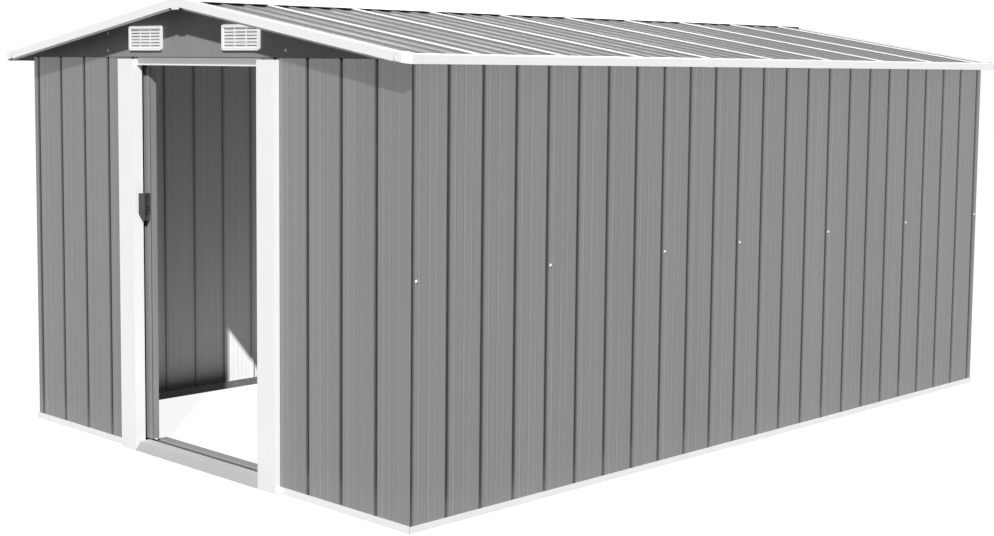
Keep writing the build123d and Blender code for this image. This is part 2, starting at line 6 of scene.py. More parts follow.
import json
import logging
import math
from collections.abc import Callable, Iterable
from dataclasses import dataclass, field, replace
from enum import Enum

import bmesh
import bpy
from mathutils import Matrix, Vector

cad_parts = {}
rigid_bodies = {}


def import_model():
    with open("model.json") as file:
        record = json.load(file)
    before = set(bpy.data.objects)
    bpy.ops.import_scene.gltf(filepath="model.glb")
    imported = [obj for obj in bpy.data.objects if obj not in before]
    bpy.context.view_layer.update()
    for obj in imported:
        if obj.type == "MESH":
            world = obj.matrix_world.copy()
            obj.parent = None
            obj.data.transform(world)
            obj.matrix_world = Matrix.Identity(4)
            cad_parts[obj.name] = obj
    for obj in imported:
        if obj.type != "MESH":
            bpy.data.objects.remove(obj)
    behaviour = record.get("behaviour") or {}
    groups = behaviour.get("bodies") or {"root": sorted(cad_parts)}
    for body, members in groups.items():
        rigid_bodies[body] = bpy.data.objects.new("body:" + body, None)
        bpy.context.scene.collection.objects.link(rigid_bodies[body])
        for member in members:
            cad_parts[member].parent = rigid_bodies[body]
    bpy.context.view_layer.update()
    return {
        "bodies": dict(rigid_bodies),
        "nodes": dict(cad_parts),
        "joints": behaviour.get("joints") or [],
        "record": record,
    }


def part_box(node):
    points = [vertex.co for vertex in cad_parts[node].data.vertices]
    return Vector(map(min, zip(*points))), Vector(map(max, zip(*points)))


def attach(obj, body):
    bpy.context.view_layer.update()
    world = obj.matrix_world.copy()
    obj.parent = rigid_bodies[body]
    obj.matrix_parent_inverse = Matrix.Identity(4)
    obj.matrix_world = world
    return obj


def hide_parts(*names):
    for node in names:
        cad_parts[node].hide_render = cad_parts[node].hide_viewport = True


LOG = logging.getLogger("shed")
Point = tuple[float, float, float]
Socket = bpy.types.NodeSocket
Value = float | Point | tuple[float, float, float, float] | Socket

SLOPE = math.tan(math.radians(9.2))
"""How far the roof falls for each metre across the shed."""

TILT = math.atan(SLOPE)
"""The roof's pitch."""

PAN_AT_RIDGE = 1.585 + 0.0048 + SLOPE * 1.205 + 0.001 / math.cos(TILT)
"""Height of the roof pan's upper face at the ridge: sheet top, gap under the pan, rise and sheet."""

LIP_PAN = 1.78597
"""The same height as the verges' lips and the shade on the ribs take it, 0.01 mm lower."""

SIDES = (("right", 1), ("left", -1))
"""The long sides, with which way across the shed each lies."""

CORNERS = {"front_right": (1, 1), "front_left": (-1, 1), "rear_right": (1, -1), "rear_left": (-1, -1)}
"""The corners, with how the front right one is mirrored across and along the shed."""


class Finish(Enum):
    """The finishes of the shed, named as the record's material slots are."""

    WALL = "wall_sheet"
    ROOF = "roof_sheet"
    TRIM = "white_trim"
    ZINC = "galvanised"
    WHITE_PLASTIC = "white_plastic"
    BLACK_PLASTIC = "black_plastic"


class Effect(Enum):
    """The surface effects that several finishes share."""

    STREAKS = "rolling_streaks"
    MOTTLE = "mottle"
    DUST = "foot_dust"
    EDGES = "worn_edges"
    GRAIN = "fine_grain"
    SPANGLE = "zinc_spangle"
    GROOVES = "groove_shade"
    ZONE = "painted_zone"
    RIBS = "rib_shade"


class Body(Enum):
    """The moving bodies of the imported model."""

    SHED = "shed"
    LEFT = "left_door"
    RIGHT = "right_door"


@dataclass
class Graph:
    """A node tree that is filled one node at a time."""

    tree: bpy.types.NodeTree

    def add(
        self, kind: str, values: dict[str | int, Value] | None = None, **settings: object
    ) -> bpy.types.Node:
        """Adds a node.

        Args:
            kind: Blender's name of the node type.
            values: what goes into its inputs, a number, a colour or another node's output.
            **settings: properties of the node itself.

        Returns:
            The new node.
        """
        node = self.tree.nodes.new(kind)
        for key, setting in settings.items():
            setattr(node, key, setting)
        for key, value in (values or {}).items():
            if isinstance(value, Socket):
                self.tree.links.new(value, node.inputs[key])
            else:
                node.inputs[key].default_value = value
        return node

    def math(self, operation: str, first: Value, second: Value = 0.0, clamp: bool = False) -> Socket:
        """Works out one number from two.

        Args:
            operation: Blender's name of the operation.
            first: the first number.
            second: the second number.
            clamp: keeps the result from 0 to 1.

        Returns:
            The result's socket.
        """
        node = self.add("ShaderNodeMath", {0: first, 1: second}, operation=operation, use_clamp=clamp)
        return node.outputs[0]

    def between(self, value: Value, low: float, high: float, at_low: float, at_high: float) -> Socket:
        """Turns one range of a number smoothly into another.

        Args:
            value: the number.
            low: where the range starts.
            high: where the range ends.
            at_low: the result at the start and before it.
            at_high: the result at the end and past it.

        Returns:
            The result's socket.
        """
        node = self.add(
            "ShaderNodeMapRange",
            {0: value, 1: low, 2: high, 3: at_low, 4: at_high},
            interpolation_type="SMOOTHSTEP",
        )
        return node.outputs[0]

    def blend(self, share: Value, first: Value, second: Value) -> Socket:
        """Mixes two colours.

        Args:
            share: how much of the second colour shows.
            first: the colour at 0.
            second: the colour at 1.

        Returns:
            The mixed colour's socket.
        """
        node = self.add("ShaderNodeMix", {0: share, 6: first, 7: second}, data_type="RGBA")
        return node.outputs[2]

    def vector(self, operation: str, first: Value, second: Value = (0.0, 0.0, 0.0)) -> Socket:
        """Works out one vector from two, or their dot product.

        Args:
            operation: Blender's name of the operation.
            first: the first vector.
            second: the second vector.

        Returns:
            The result's socket.
        """
        node = self.add("ShaderNodeVectorMath", {0: first, 1: second}, operation=operation)
        return node.outputs["Value" if operation == "DOT_PRODUCT" else 0]

    def noise(self, place: Value, scale: Value, detail: float, roughness: float = 0.5) -> Socket:
        """Makes cloudy noise.

        Args:
            place: where it is read.
            scale: how fine it is.
            detail: how many octaves it has.
            roughness: how strong the fine ones are.

        Returns:
            The noise's socket.
        """
        values = {"Vector": place, "Scale": scale, "Detail": detail, "Roughness": roughness}
        return self.add("ShaderNodeTexNoise", values).outputs[0]

    def parts(self, vector: Value) -> bpy.types.NodeOutputs:
        """The three parts of a vector."""
        return self.add("ShaderNodeSeparateXYZ", {0: vector}).outputs

    def swing(self, value: Value, strength: Value) -> Socket:
        """Turns a number from 0 to 1 into a tone that swings about 1.

        Args:
            value: the number.
            strength: how far the tone swings.

        Returns:
            The tone's socket.
        """
        off = self.math("MULTIPLY", self.math("SUBTRACT", value, 0.5), 2.0)
        return self.math("ADD", self.math("MULTIPLY", off, strength), 1.0)

    def give(self, node: bpy.types.Node, **sockets: Socket) -> None:
        """Links each socket to the node's input of that name."""
        for name, socket in sockets.items():
            self.tree.links.new(socket, node.inputs[name])

    def scaled(self, colour: Value, amount: Value) -> Socket:
        """Makes a colour lighter or darker.

        Args:
            colour: the colour.
            amount: what it is multiplied by.

        Returns:
            The new colour's socket.
        """
        node = self.add("ShaderNodeVectorMath", {0: colour, "Scale": amount}, operation="SCALE")
        return node.outputs[0]


@dataclass
class Effects:
    """The shared effects, each a node group that is built once."""

    groups: dict[Effect, bpy.types.NodeTree] = field(default_factory=dict)

    def start(
        self, effect: Effect, inputs: dict[str, Value], outputs: Iterable[str]
    ) -> tuple[Graph, dict[str, Socket], bpy.types.Node]:
        """Opens a new group.

        Args:
            effect: the effect that the group makes.
            inputs: the names of its inputs with their usual values.
            outputs: the names of its outputs. Normal is a vector, and the rest are numbers.

        Returns:
            Its graph, its input sockets by name, and its output node.
        """
        tree = bpy.data.node_groups.new(effect.value, "ShaderNodeTree")
        for name, usual in inputs.items():
            kind = "NodeSocketVector" if isinstance(usual, tuple) else "NodeSocketFloat"
            socket = tree.interface.new_socket(name, in_out="INPUT", socket_type=kind)
            socket.default_value = usual
        for name in outputs:
            kind = "NodeSocketVector" if name == "Normal" else "NodeSocketFloat"
            tree.interface.new_socket(name, in_out="OUTPUT", socket_type=kind)
        graph = Graph(tree)
        taken = graph.add("NodeGroupInput")
        given = graph.add("NodeGroupOutput")
        self.groups[effect] = tree
        return graph, {name: taken.outputs[name] for name in inputs}, given

    def place(self, graph: Graph, effect: Effect, **values: Value) -> bpy.types.Node:
        """Puts an effect into a material.

        Args:
            graph: the material's graph.
            effect: the effect.
            **values: the effect's inputs, with _ for a space.

        Returns:
            The group node.
        """
        node = graph.add("ShaderNodeGroup", node_tree=self.groups[effect])
        for key, value in values.items():
            socket = node.inputs[key.replace("_", " ")]
            if isinstance(value, Socket):
                graph.tree.links.new(value, socket)
            else:
                socket.default_value = value
        return node

    def build(self) -> None:
        """Builds every effect."""
        self.build_streaks()
        self.build_mottle()
        self.build_dust()
        self.build_edges()
        self.build_grain()
        self.build_spangle()
        self.build_grooves()
        self.build_zone()
        self.build_ribs()
        LOG.info("effects: %d groups", len(self.groups))

    def build_streaks(self) -> None:
        """Long streaks that the rolling of the sheet leaves, fine ones and broad ones."""
        inputs = {
            "Place": (0.0, 0.0, 0.0),
            "Fine": (40.0, 40.0, 0.8),
            "Broad": (7.0, 7.0, 0.3),
            "Strength": 0.03,
        }
        graph, taken, given = self.start(Effect.STREAKS, inputs, ["Tone"])
        shares = []
        for name, weight, detail in (("Fine", 0.9, 3.0), ("Broad", 1.1, 2.0)):
            noise = graph.noise(graph.vector("MULTIPLY", taken["Place"], taken[name]), 1.0, detail)
            shares.append(graph.math("MULTIPLY", graph.math("SUBTRACT", noise, 0.5), 2.0 * weight))
        both = graph.math("ADD", shares[0], shares[1])
        graph.give(given, Tone=graph.math("ADD", graph.math("MULTIPLY", both, taken["Strength"]), 1.0))

    def build_mottle(self) -> None:
        """Cloudy light and dark patches in the coat."""
        inputs = {"Place": (0.0, 0.0, 0.0), "Scale": 3.0, "Strength": 0.03}
        graph, taken, given = self.start(Effect.MOTTLE, inputs, ["Tone", "Cloud"])
        noise = graph.noise(taken["Place"], taken["Scale"], 6.0, 0.6)
        graph.give(given, Tone=graph.swing(noise, taken["Strength"]), Cloud=noise)

    def build_dust(self) -> None:
        """Dust and splashes that thin out with the height over the ground."""
        inputs = {"Place": (0.0, 0.0, 0.0), "Height": 0.2, "Strength": 0.3}
        graph, taken, given = self.start(Effect.DUST, inputs, ["Mask"])
        share = graph.math("DIVIDE", graph.parts(taken["Place"])[2], taken["Height"])
        low = graph.between(share, 0.0, 1.0, 1.0, 0.0)
        spots = graph.between(graph.noise(taken["Place"], 9.0, 8.0, 0.7), 0.3, 0.7, 0.25, 1.0)
        mask = graph.math("MULTIPLY", graph.math("MULTIPLY", low, spots), taken["Strength"], clamp=True)
        graph.give(given, Mask=mask)

    def build_edges(self) -> None:
        """Rounded edges, and a mask of where their coat is rubbed."""
        inputs = {"Place": (0.0, 0.0, 0.0), "Radius": 0.0015, "Strength": 0.5}
        graph, taken, given = self.start(Effect.EDGES, inputs, ["Wear", "Normal"])
        rounded = graph.add("ShaderNodeBevel", {"Radius": taken["Radius"]}, samples=4).outputs[0]
        flat = graph.add("ShaderNodeNewGeometry").outputs["Normal"]
        turned = graph.between(graph.vector("DOT_PRODUCT", rounded, flat), 0.80, 0.995, 1.0, 0.0)
        spots = graph.between(graph.noise(taken["Place"], 22.0, 7.0, 0.7), 0.45, 0.62, 0.0, 1.0)
        mask = graph.math("MULTIPLY", graph.math("MULTIPLY", turned, spots), taken["Strength"], clamp=True)
        graph.give(given, Wear=mask, Normal=rounded)

    def build_grain(self) -> None:
        """The fine peel of a coat or of a moulding, with slow waves in the sheet under it."""
        inputs = {"Place": (0.0, 0.0, 0.0), "Scale": 450.0, "Waves": (3.0, 3.0, 1.2), "Wave height": 6.0}
        graph, taken, given = self.start(Effect.GRAIN, inputs, ["Height"])
        peel = graph.noise(taken["Place"], taken["Scale"], 2.0)
        waves = graph.noise(graph.vector("MULTIPLY", taken["Place"], taken["Waves"]), 1.0, 1.0)
        height = graph.math("ADD", peel, graph.math("MULTIPLY", waves, taken["Wave height"]))
        graph.give(given, Height=height)

    def build_spangle(self) -> None:
        """The frosty crystals of hot-dipped zinc."""
        inputs = {"Place": (0.0, 0.0, 0.0), "Scale": 110.0, "Strength": 0.12}
        graph, taken, given = self.start(Effect.SPANGLE, inputs, ["Tone", "Rough"])
        cells = graph.add("ShaderNodeTexVoronoi", {"Vector": taken["Place"], "Scale": taken["Scale"]})
        parts = graph.add("ShaderNodeSeparateColor", {0: cells.outputs["Color"]}).outputs
        graph.give(given, Tone=graph.swing(parts[0], taken["Strength"]), Rough=parts[1])

    def build_grooves(self) -> None:
        """Painted shade in the grooves of the walls, fainter on the inside faces, with a soft painted shade
        beside them.
        """
        inputs = {
            "Place": (0.0, 0.0, 0.0),
            "Side face": 1.205,
            "Front face": 1.895,
            "Side groove": -1.889,
            "Side pitch": 0.163,
            "Front groove": -1.170,
            "Front pitch": 0.1834,
            "Inside": 0.18,
            "Strength": 1.0,
        }
        flank_top, flank_foot = 0.0012, 0.0055
        floor_edge, halo_edge = 0.0080, 0.0125
        sheet_front, sheet_back = -0.0004, 0.0125
        graph, taken, given = self.start(Effect.GROOVES, inputs, ["Mask"])
        parts = graph.parts(taken["Place"])
        facing = graph.parts(graph.add("ShaderNodeNewGeometry").outputs["True Normal"])
        across = graph.math("SUBTRACT", taken["Side face"], graph.math("ABSOLUTE", parts[0]))
        along = graph.math("SUBTRACT", taken["Front face"], graph.math("ABSOLUTE", parts[1]))
        walls = (
            (across, along, 0, parts[1], "Side groove", "Side pitch"),
            (along, across, 1, parts[0], "Front groove", "Front pitch"),
        )
        masks = []
        for depth, other, axis, run, groove, pitch in walls:
            deep = graph.between(depth, flank_top, flank_foot, 0.0, 1.0)
            turns = graph.math("DIVIDE", graph.math("SUBTRACT", run, taken[groove]), taken[pitch])
            beside = graph.math("SUBTRACT", graph.math("FRACT", graph.math("ADD", turns, 0.5)), 0.5)
            away = graph.math("MULTIPLY", graph.math("ABSOLUTE", beside), taken[pitch])
            soft = graph.between(away, floor_edge, halo_edge, 0.6, 0.0)
            if axis:
                soft = graph.math("MULTIPLY", soft, graph.math("LESS_THAN", parts[1], 0.0))
            shaded = graph.math("MAXIMUM", deep, soft)
            outward = graph.math("MULTIPLY", facing[axis], graph.math("SIGN", parts[axis]))
            share = graph.between(outward, -0.02, 0.02, 0.0, 1.0)
            gained = graph.math("MULTIPLY", share, graph.math("SUBTRACT", 1.0, taken["Inside"]))
            kept = graph.math("ADD", gained, taken["Inside"])
            near = graph.math("LESS_THAN", depth, sheet_back)
            at_sheet = graph.math("GREATER_THAN", depth, sheet_front)
            off_corner = graph.math("GREATER_THAN", other, flank_top)
            where = graph.math("MULTIPLY", near, graph.math("MULTIPLY", off_corner, at_sheet))
            masks.append(graph.math("MULTIPLY", graph.math("MULTIPLY", shaded, kept), where))
        either = graph.math("MAXIMUM", masks[0], masks[1])
        graph.give(given, Mask=graph.math("MULTIPLY", either, taken["Strength"], clamp=True))

    def build_ribs(self) -> None:
        """The shade on the flanks of the roof's ribs, by their height over the pan."""
        inputs = {"Place": (0.0, 0.0, 0.0), "Ridge pan": LIP_PAN, "Slope": round(SLOPE, 5), "Strength": 1.0}
        flank_foot, flank_top = (0.0004, 0.0012), (0.0030, 0.0050)
        graph, taken, given = self.start(Effect.RIBS, inputs, ["Mask"])
        parts = graph.parts(taken["Place"])
        drop = graph.math("MULTIPLY", graph.math("ABSOLUTE", parts[0]), taken["Slope"])
        height = graph.math("SUBTRACT", graph.math("ADD", parts[2], drop), taken["Ridge pan"])
        risen = graph.between(height, *flank_foot, 0.0, 1.0)
        topped = graph.between(height, *flank_top, 1.0, 0.0)
        mask = graph.math("MULTIPLY", graph.math("MULTIPLY", risen, topped), taken["Strength"], clamp=True)
        graph.give(given, Mask=mask)

    def build_zone(self) -> None:
        """A box inside which a coat has another tone."""
        inputs = {"Place": (0.0, 0.0, 0.0), "Centre": (0.0, 0.0, 0.0), "Half": (1.0, 1.0, 1.0), "Soft": 0.001}
        graph, taken, given = self.start(Effect.ZONE, inputs, ["Mask"])
        away = graph.vector("ABSOLUTE", graph.vector("SUBTRACT", taken["Place"], taken["Centre"]))
        inner = graph.parts(graph.vector("SUBTRACT", taken["Half"], away))
        least = graph.math("MINIMUM", graph.math("MINIMUM", inner[0], inner[1]), inner[2])
        graph.give(given, Mask=graph.math("DIVIDE", least, taken["Soft"], clamp=True))


@dataclass
class Coat:
    """A material that is being filled: its graph, its shader and the place of its points."""

    material: bpy.types.Material
    effects: Effects
    graph: Graph
    shader: bpy.types.Node
    spot: Socket

    @classmethod
    def start(cls, name: str, effects: Effects) -> "Coat":
        """Opens a new material.

        Args:
            name: the material's name.
            effects: the shared effects.

        Returns:
            The coat.
        """
        material = bpy.data.materials.new(name)
        material.use_nodes = True
        graph = Graph(material.node_tree)
        shader = material.node_tree.nodes["Principled BSDF"]
        return cls(material, effects, graph, shader, graph.add("ShaderNodeTexCoord").outputs["Object"])

    def effect(self, effect: Effect, **values: Value) -> bpy.types.NodeOutputs:
        """Puts an effect into the material.

        Args:
            effect: the effect.
            **values: its inputs but for the place, with _ for a space.

        Returns:
            The effect's outputs.
        """
        return self.effects.place(self.graph, effect, Place=self.spot, **values).outputs

    def spread(self, name: str, socket: Socket) -> None:
        """Links what changes over the surface to the shader."""
        self.graph.give(self.shader, **{name: socket})

    def close(self, distance: float, height: Socket, normal: Socket) -> bpy.types.Material:
        """Bumps the surface.

        Args:
            distance: how high the bumps are.
            height: the bumps' pattern.
            normal: the rounded edges' normal.

        Returns:
            The finished material.
        """
        values = {"Strength": 1.0, "Distance": distance, "Height": height, "Normal": normal}
        self.spread("Normal", self.graph.add("ShaderNodeBump", values).outputs[0])
        return self.material


def grey(tone: float) -> tuple[float, float, float, float]:
    """A grey of this tone."""
    return (tone, tone, tone, 1.0)


@dataclass(frozen=True)
class Zone:
    """A box inside which a coat has another tone."""

    centre: Point
    half: Point
    tone: float


@dataclass(frozen=True)
class CoatedSheet:
    """A stove-enamelled steel sheet: streaks, patches, peel, dust at the foot and rubbed edges."""

    name: str
    tone: float
    rough: float = 0.46
    fine: Point = (46.0, 46.0, 0.9)
    broad: Point = (7.0, 7.0, 0.35)
    streaks: float = 0.035
    patches: float = 0.03
    dust_height: float = 0.16
    dust: float = 0.30
    wear: float = 0.45
    wave_height: float = 5.0
    bump: float = 0.00035
    gloss: float = 0.35
    # grooves and ribs set the strength of the painted shade in the wall grooves and on the roof ribs' flanks;
    # groove_share and rib_share set how dark that painted shade is
    grooves: float = 0.0
    groove_share: float = 0.16
    ribs: float = 0.0
    rib_share: float = 0.7
    zones: tuple[Zone, ...] = ()

    def build(self, effects: Effects) -> bpy.types.Material:
        """Builds the material.

        Args:
            effects: the shared effects.

        Returns:
            The material.
        """
        coat = Coat.start(self.name, effects)
        graph = coat.graph
        streaks = coat.effect(Effect.STREAKS, Fine=self.fine, Broad=self.broad, Strength=self.streaks)
        mottle = coat.effect(Effect.MOTTLE, Scale=3.2, Strength=self.patches)
        dust = coat.effect(Effect.DUST, Height=self.dust_height, Strength=self.dust)
        edges = coat.effect(Effect.EDGES, Radius=0.0014, Strength=self.wear)
        grain = coat.effect(Effect.GRAIN, Scale=420.0, Wave_height=self.wave_height)
        tone = graph.math("MULTIPLY", streaks["Tone"], mottle["Tone"])
        colour = graph.scaled(grey(self.tone)[:3], tone)
        # Each zone paints another tone inside a box: a second colour on the header, painted shade on the base
        # rails' inner faces and on the sill plate's slope
        for zone in self.zones:
            inside = coat.effect(Effect.ZONE, Centre=zone.centre, Half=zone.half)
            colour = graph.blend(inside["Mask"], colour, grey(zone.tone))
        # Painted shade in the wall grooves: a darker copy of the tone
        if self.grooves:
            grooves = coat.effect(Effect.GROOVES, Strength=self.grooves)
            colour = graph.blend(grooves["Mask"], colour, grey(self.tone * self.groove_share))
        # Painted shade on the lower flanks of the roof ribs: a darker copy of the tone
        if self.ribs:
            flanks = coat.effect(Effect.RIBS, Strength=self.ribs)
            colour = graph.blend(flanks["Mask"], colour, grey(self.tone * self.rib_share))
        dusty = graph.blend(dust["Mask"], colour, (0.36, 0.35, 0.33, 1.0))
        rubbed = min(0.9, self.tone * 1.35 + 0.03)
        coat.spread("Base Color", graph.blend(edges["Wear"], dusty, grey(rubbed)))
        rough = graph.between(mottle["Cloud"], 0.3, 0.7, self.rough - 0.05, self.rough + 0.07)
        dulled = graph.math("ADD", rough, graph.math("MULTIPLY", dust["Mask"], 0.4), clamp=True)
        coat.spread("Roughness", dulled)
        coat.shader.inputs["Specular IOR Level"].default_value = self.gloss
        return coat.close(self.bump, grain["Height"], edges["Normal"])


@dataclass(frozen=True)
class ZincSheet:
    """Bare galvanised sheet: spangle, dull patches and rubbed edges."""

    name: str
    tone: float = 0.5
    metallic: float = 0.55
    rough: float = 0.48
    bump: float = 0.0002

    def build(self, effects: Effects) -> bpy.types.Material:
        """Builds the material.

        Args:
            effects: the shared effects.

        Returns:
            The material.
        """
        coat = Coat.start(self.name, effects)
        graph = coat.graph
        spangle = coat.effect(Effect.SPANGLE, Scale=95.0, Strength=0.10)
        mottle = coat.effect(Effect.MOTTLE, Scale=5.0, Strength=0.08)
        dust = coat.effect(Effect.DUST, Height=0.08, Strength=0.35)
        edges = coat.effect(Effect.EDGES, Radius=0.0012, Strength=0.5)
        grain = coat.effect(Effect.GRAIN, Scale=300.0, Wave_height=3.0)
        tone = graph.math("MULTIPLY", spangle["Tone"], mottle["Tone"])
        dusty = graph.blend(dust["Mask"], graph.scaled(grey(self.tone)[:3], tone), (0.34, 0.33, 0.31, 1.0))
        coat.spread("Base Color", graph.blend(edges["Wear"], dusty, (0.72, 0.72, 0.73, 1.0)))
        rough = graph.between(spangle["Rough"], 0.0, 1.0, self.rough - 0.08, self.rough + 0.1)
        coat.spread("Roughness", rough)
        coat.shader.inputs["Metallic"].default_value = self.metallic
        return coat.close(self.bump, grain["Height"], edges["Normal"])


@dataclass(frozen=True)
class MouldedPlastic:
    """A moulded plastic with a fine eroded texture and rubbed edges."""

    name: str
    tone: float
    rubbed: float
    rough: float = 0.5
    texture: float = 700.0
    bump: float = 0.00012

    def build(self, effects: Effects) -> bpy.types.Material:
        """Builds the material.

        Args:
            effects: the shared effects.

        Returns:
            The material.
        """
        coat = Coat.start(self.name, effects)
        mottle = coat.effect(Effect.MOTTLE, Scale=24.0, Strength=0.05)
        edges = coat.effect(Effect.EDGES, Radius=0.0006, Strength=0.4)
        grain = coat.effect(Effect.GRAIN, Scale=self.texture, Wave_height=0.5)
        colour = coat.graph.scaled(grey(self.tone)[:3], mottle["Tone"])
        coat.spread("Base Color", coat.graph.blend(edges["Wear"], colour, grey(self.rubbed)))
        rough = coat.graph.between(mottle["Cloud"], 0.3, 0.7, self.rough - 0.06, self.rough + 0.06)
        coat.spread("Roughness", rough)
        return coat.close(self.bump, grain["Height"], edges["Normal"])


@dataclass
class Finishes:
    """Every material of the shed, by finish."""

    effects: Effects
    made: dict[Finish, bpy.types.Material] = field(default_factory=dict)
    own: dict[str, bpy.types.Material] = field(default_factory=dict)
    screw: bpy.types.Material | None = None

    def build(self) -> None:
        """Builds the materials."""
        # The wall coat carries painted shade in its grooves, the roof coat painted shade on its ribs' flanks
        wall = CoatedSheet(
            "wall_sheet_coat",
            tone=0.26,
            fine=(60.0, 60.0, 0.5),
            streaks=0.07,
            gloss=0.2,
            grooves=1.0,
        )
        roof = CoatedSheet(
            "roof_sheet_coat",
            tone=0.245,
            fine=(0.9, 46.0, 0.9),
            broad=(0.5, 7.0, 0.5),
            streaks=0.04,
            dust=0.0,
            gloss=0.15,
            ribs=1.0,
        )
        trim = CoatedSheet(
            "white_trim_coat",
            tone=0.90,
            rough=0.4,
            streaks=0.010,
            patches=0.012,
            dust=0.12,
            wear=0.25,
        )
        sources = {
            Finish.WALL: wall,
            Finish.ROOF: roof,
            Finish.TRIM: trim,
            Finish.ZINC: ZincSheet("galvanised_sheet", tone=0.6, metallic=0.3),
            Finish.WHITE_PLASTIC: MouldedPlastic("white_moulding", tone=0.87, rubbed=0.7),
            Finish.BLACK_PLASTIC: MouldedPlastic("black_moulding", tone=0.04, rubbed=0.10, rough=0.42),
        }
        for finish, source in sources.items():
            self.made[finish] = source.build(self.effects)
        self.screw = ZincSheet("zinc_screw", tone=0.55, metallic=0.8, rough=0.35).build(self.effects)
        header = replace(trim, name="header_coat", zones=(Zone((0.0, -1.9, 1.576), (1.0, 0.1, 0.025), 0.38),))
        # The rails' faces inside the shed are painted near black: painted shade
        rail = replace(trim, name="base_rail_coat", zones=(Zone((0.0, 0.0, 0.0), (1.19, 1.88, 0.1), 0.025),))
        header_coat, rail_coat = header.build(self.effects), rail.build(self.effects)
        # The plate's slope down to the ground is painted darker than its flat part: painted shade that evens
        # out the stronger light the slope gets
        slope_zone = Zone((0.0, -1.930, 0.0), (1.0, 0.0298, 0.1), 0.42)
        plate = CoatedSheet(
            "sill_plate_coat",
            tone=0.64,
            streaks=0.05,
            patches=0.05,
            gloss=0.3,
            zones=(slope_zone,),
        )
        sill = CoatedSheet("rear_sill_coat", tone=0.32, streaks=0.05, patches=0.06, gloss=0.3)
        # The lower door track is painted dark grey: painted shade for its channel in the doorway
        track = ZincSheet("track_sheet", tone=0.15, metallic=0.2)
        self.own = {
            "door_header": header_coat,
            "sill_plate": plate.build(self.effects),
            "rear_sill": sill.build(self.effects),
            "lower_door_track": track.build(self.effects),
        }
        for side in ("front", "rear", "left", "right"):
            self.own[f"base_rail_{side}"] = rail_coat
        LOG.info("finishes: %d materials", len({*self.made.values(), *self.own.values(), self.screw}))

    def dress_nodes(self, frame: dict) -> None:
        """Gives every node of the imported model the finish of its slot.
        """
        for row in frame["record"]["subparts"]:
            node = frame["nodes"][row["node"]]
            node.data.materials.clear()
            node.data.materials.append(self.own.get(row["node"], self.made[Finish(row["material_slot"])]))


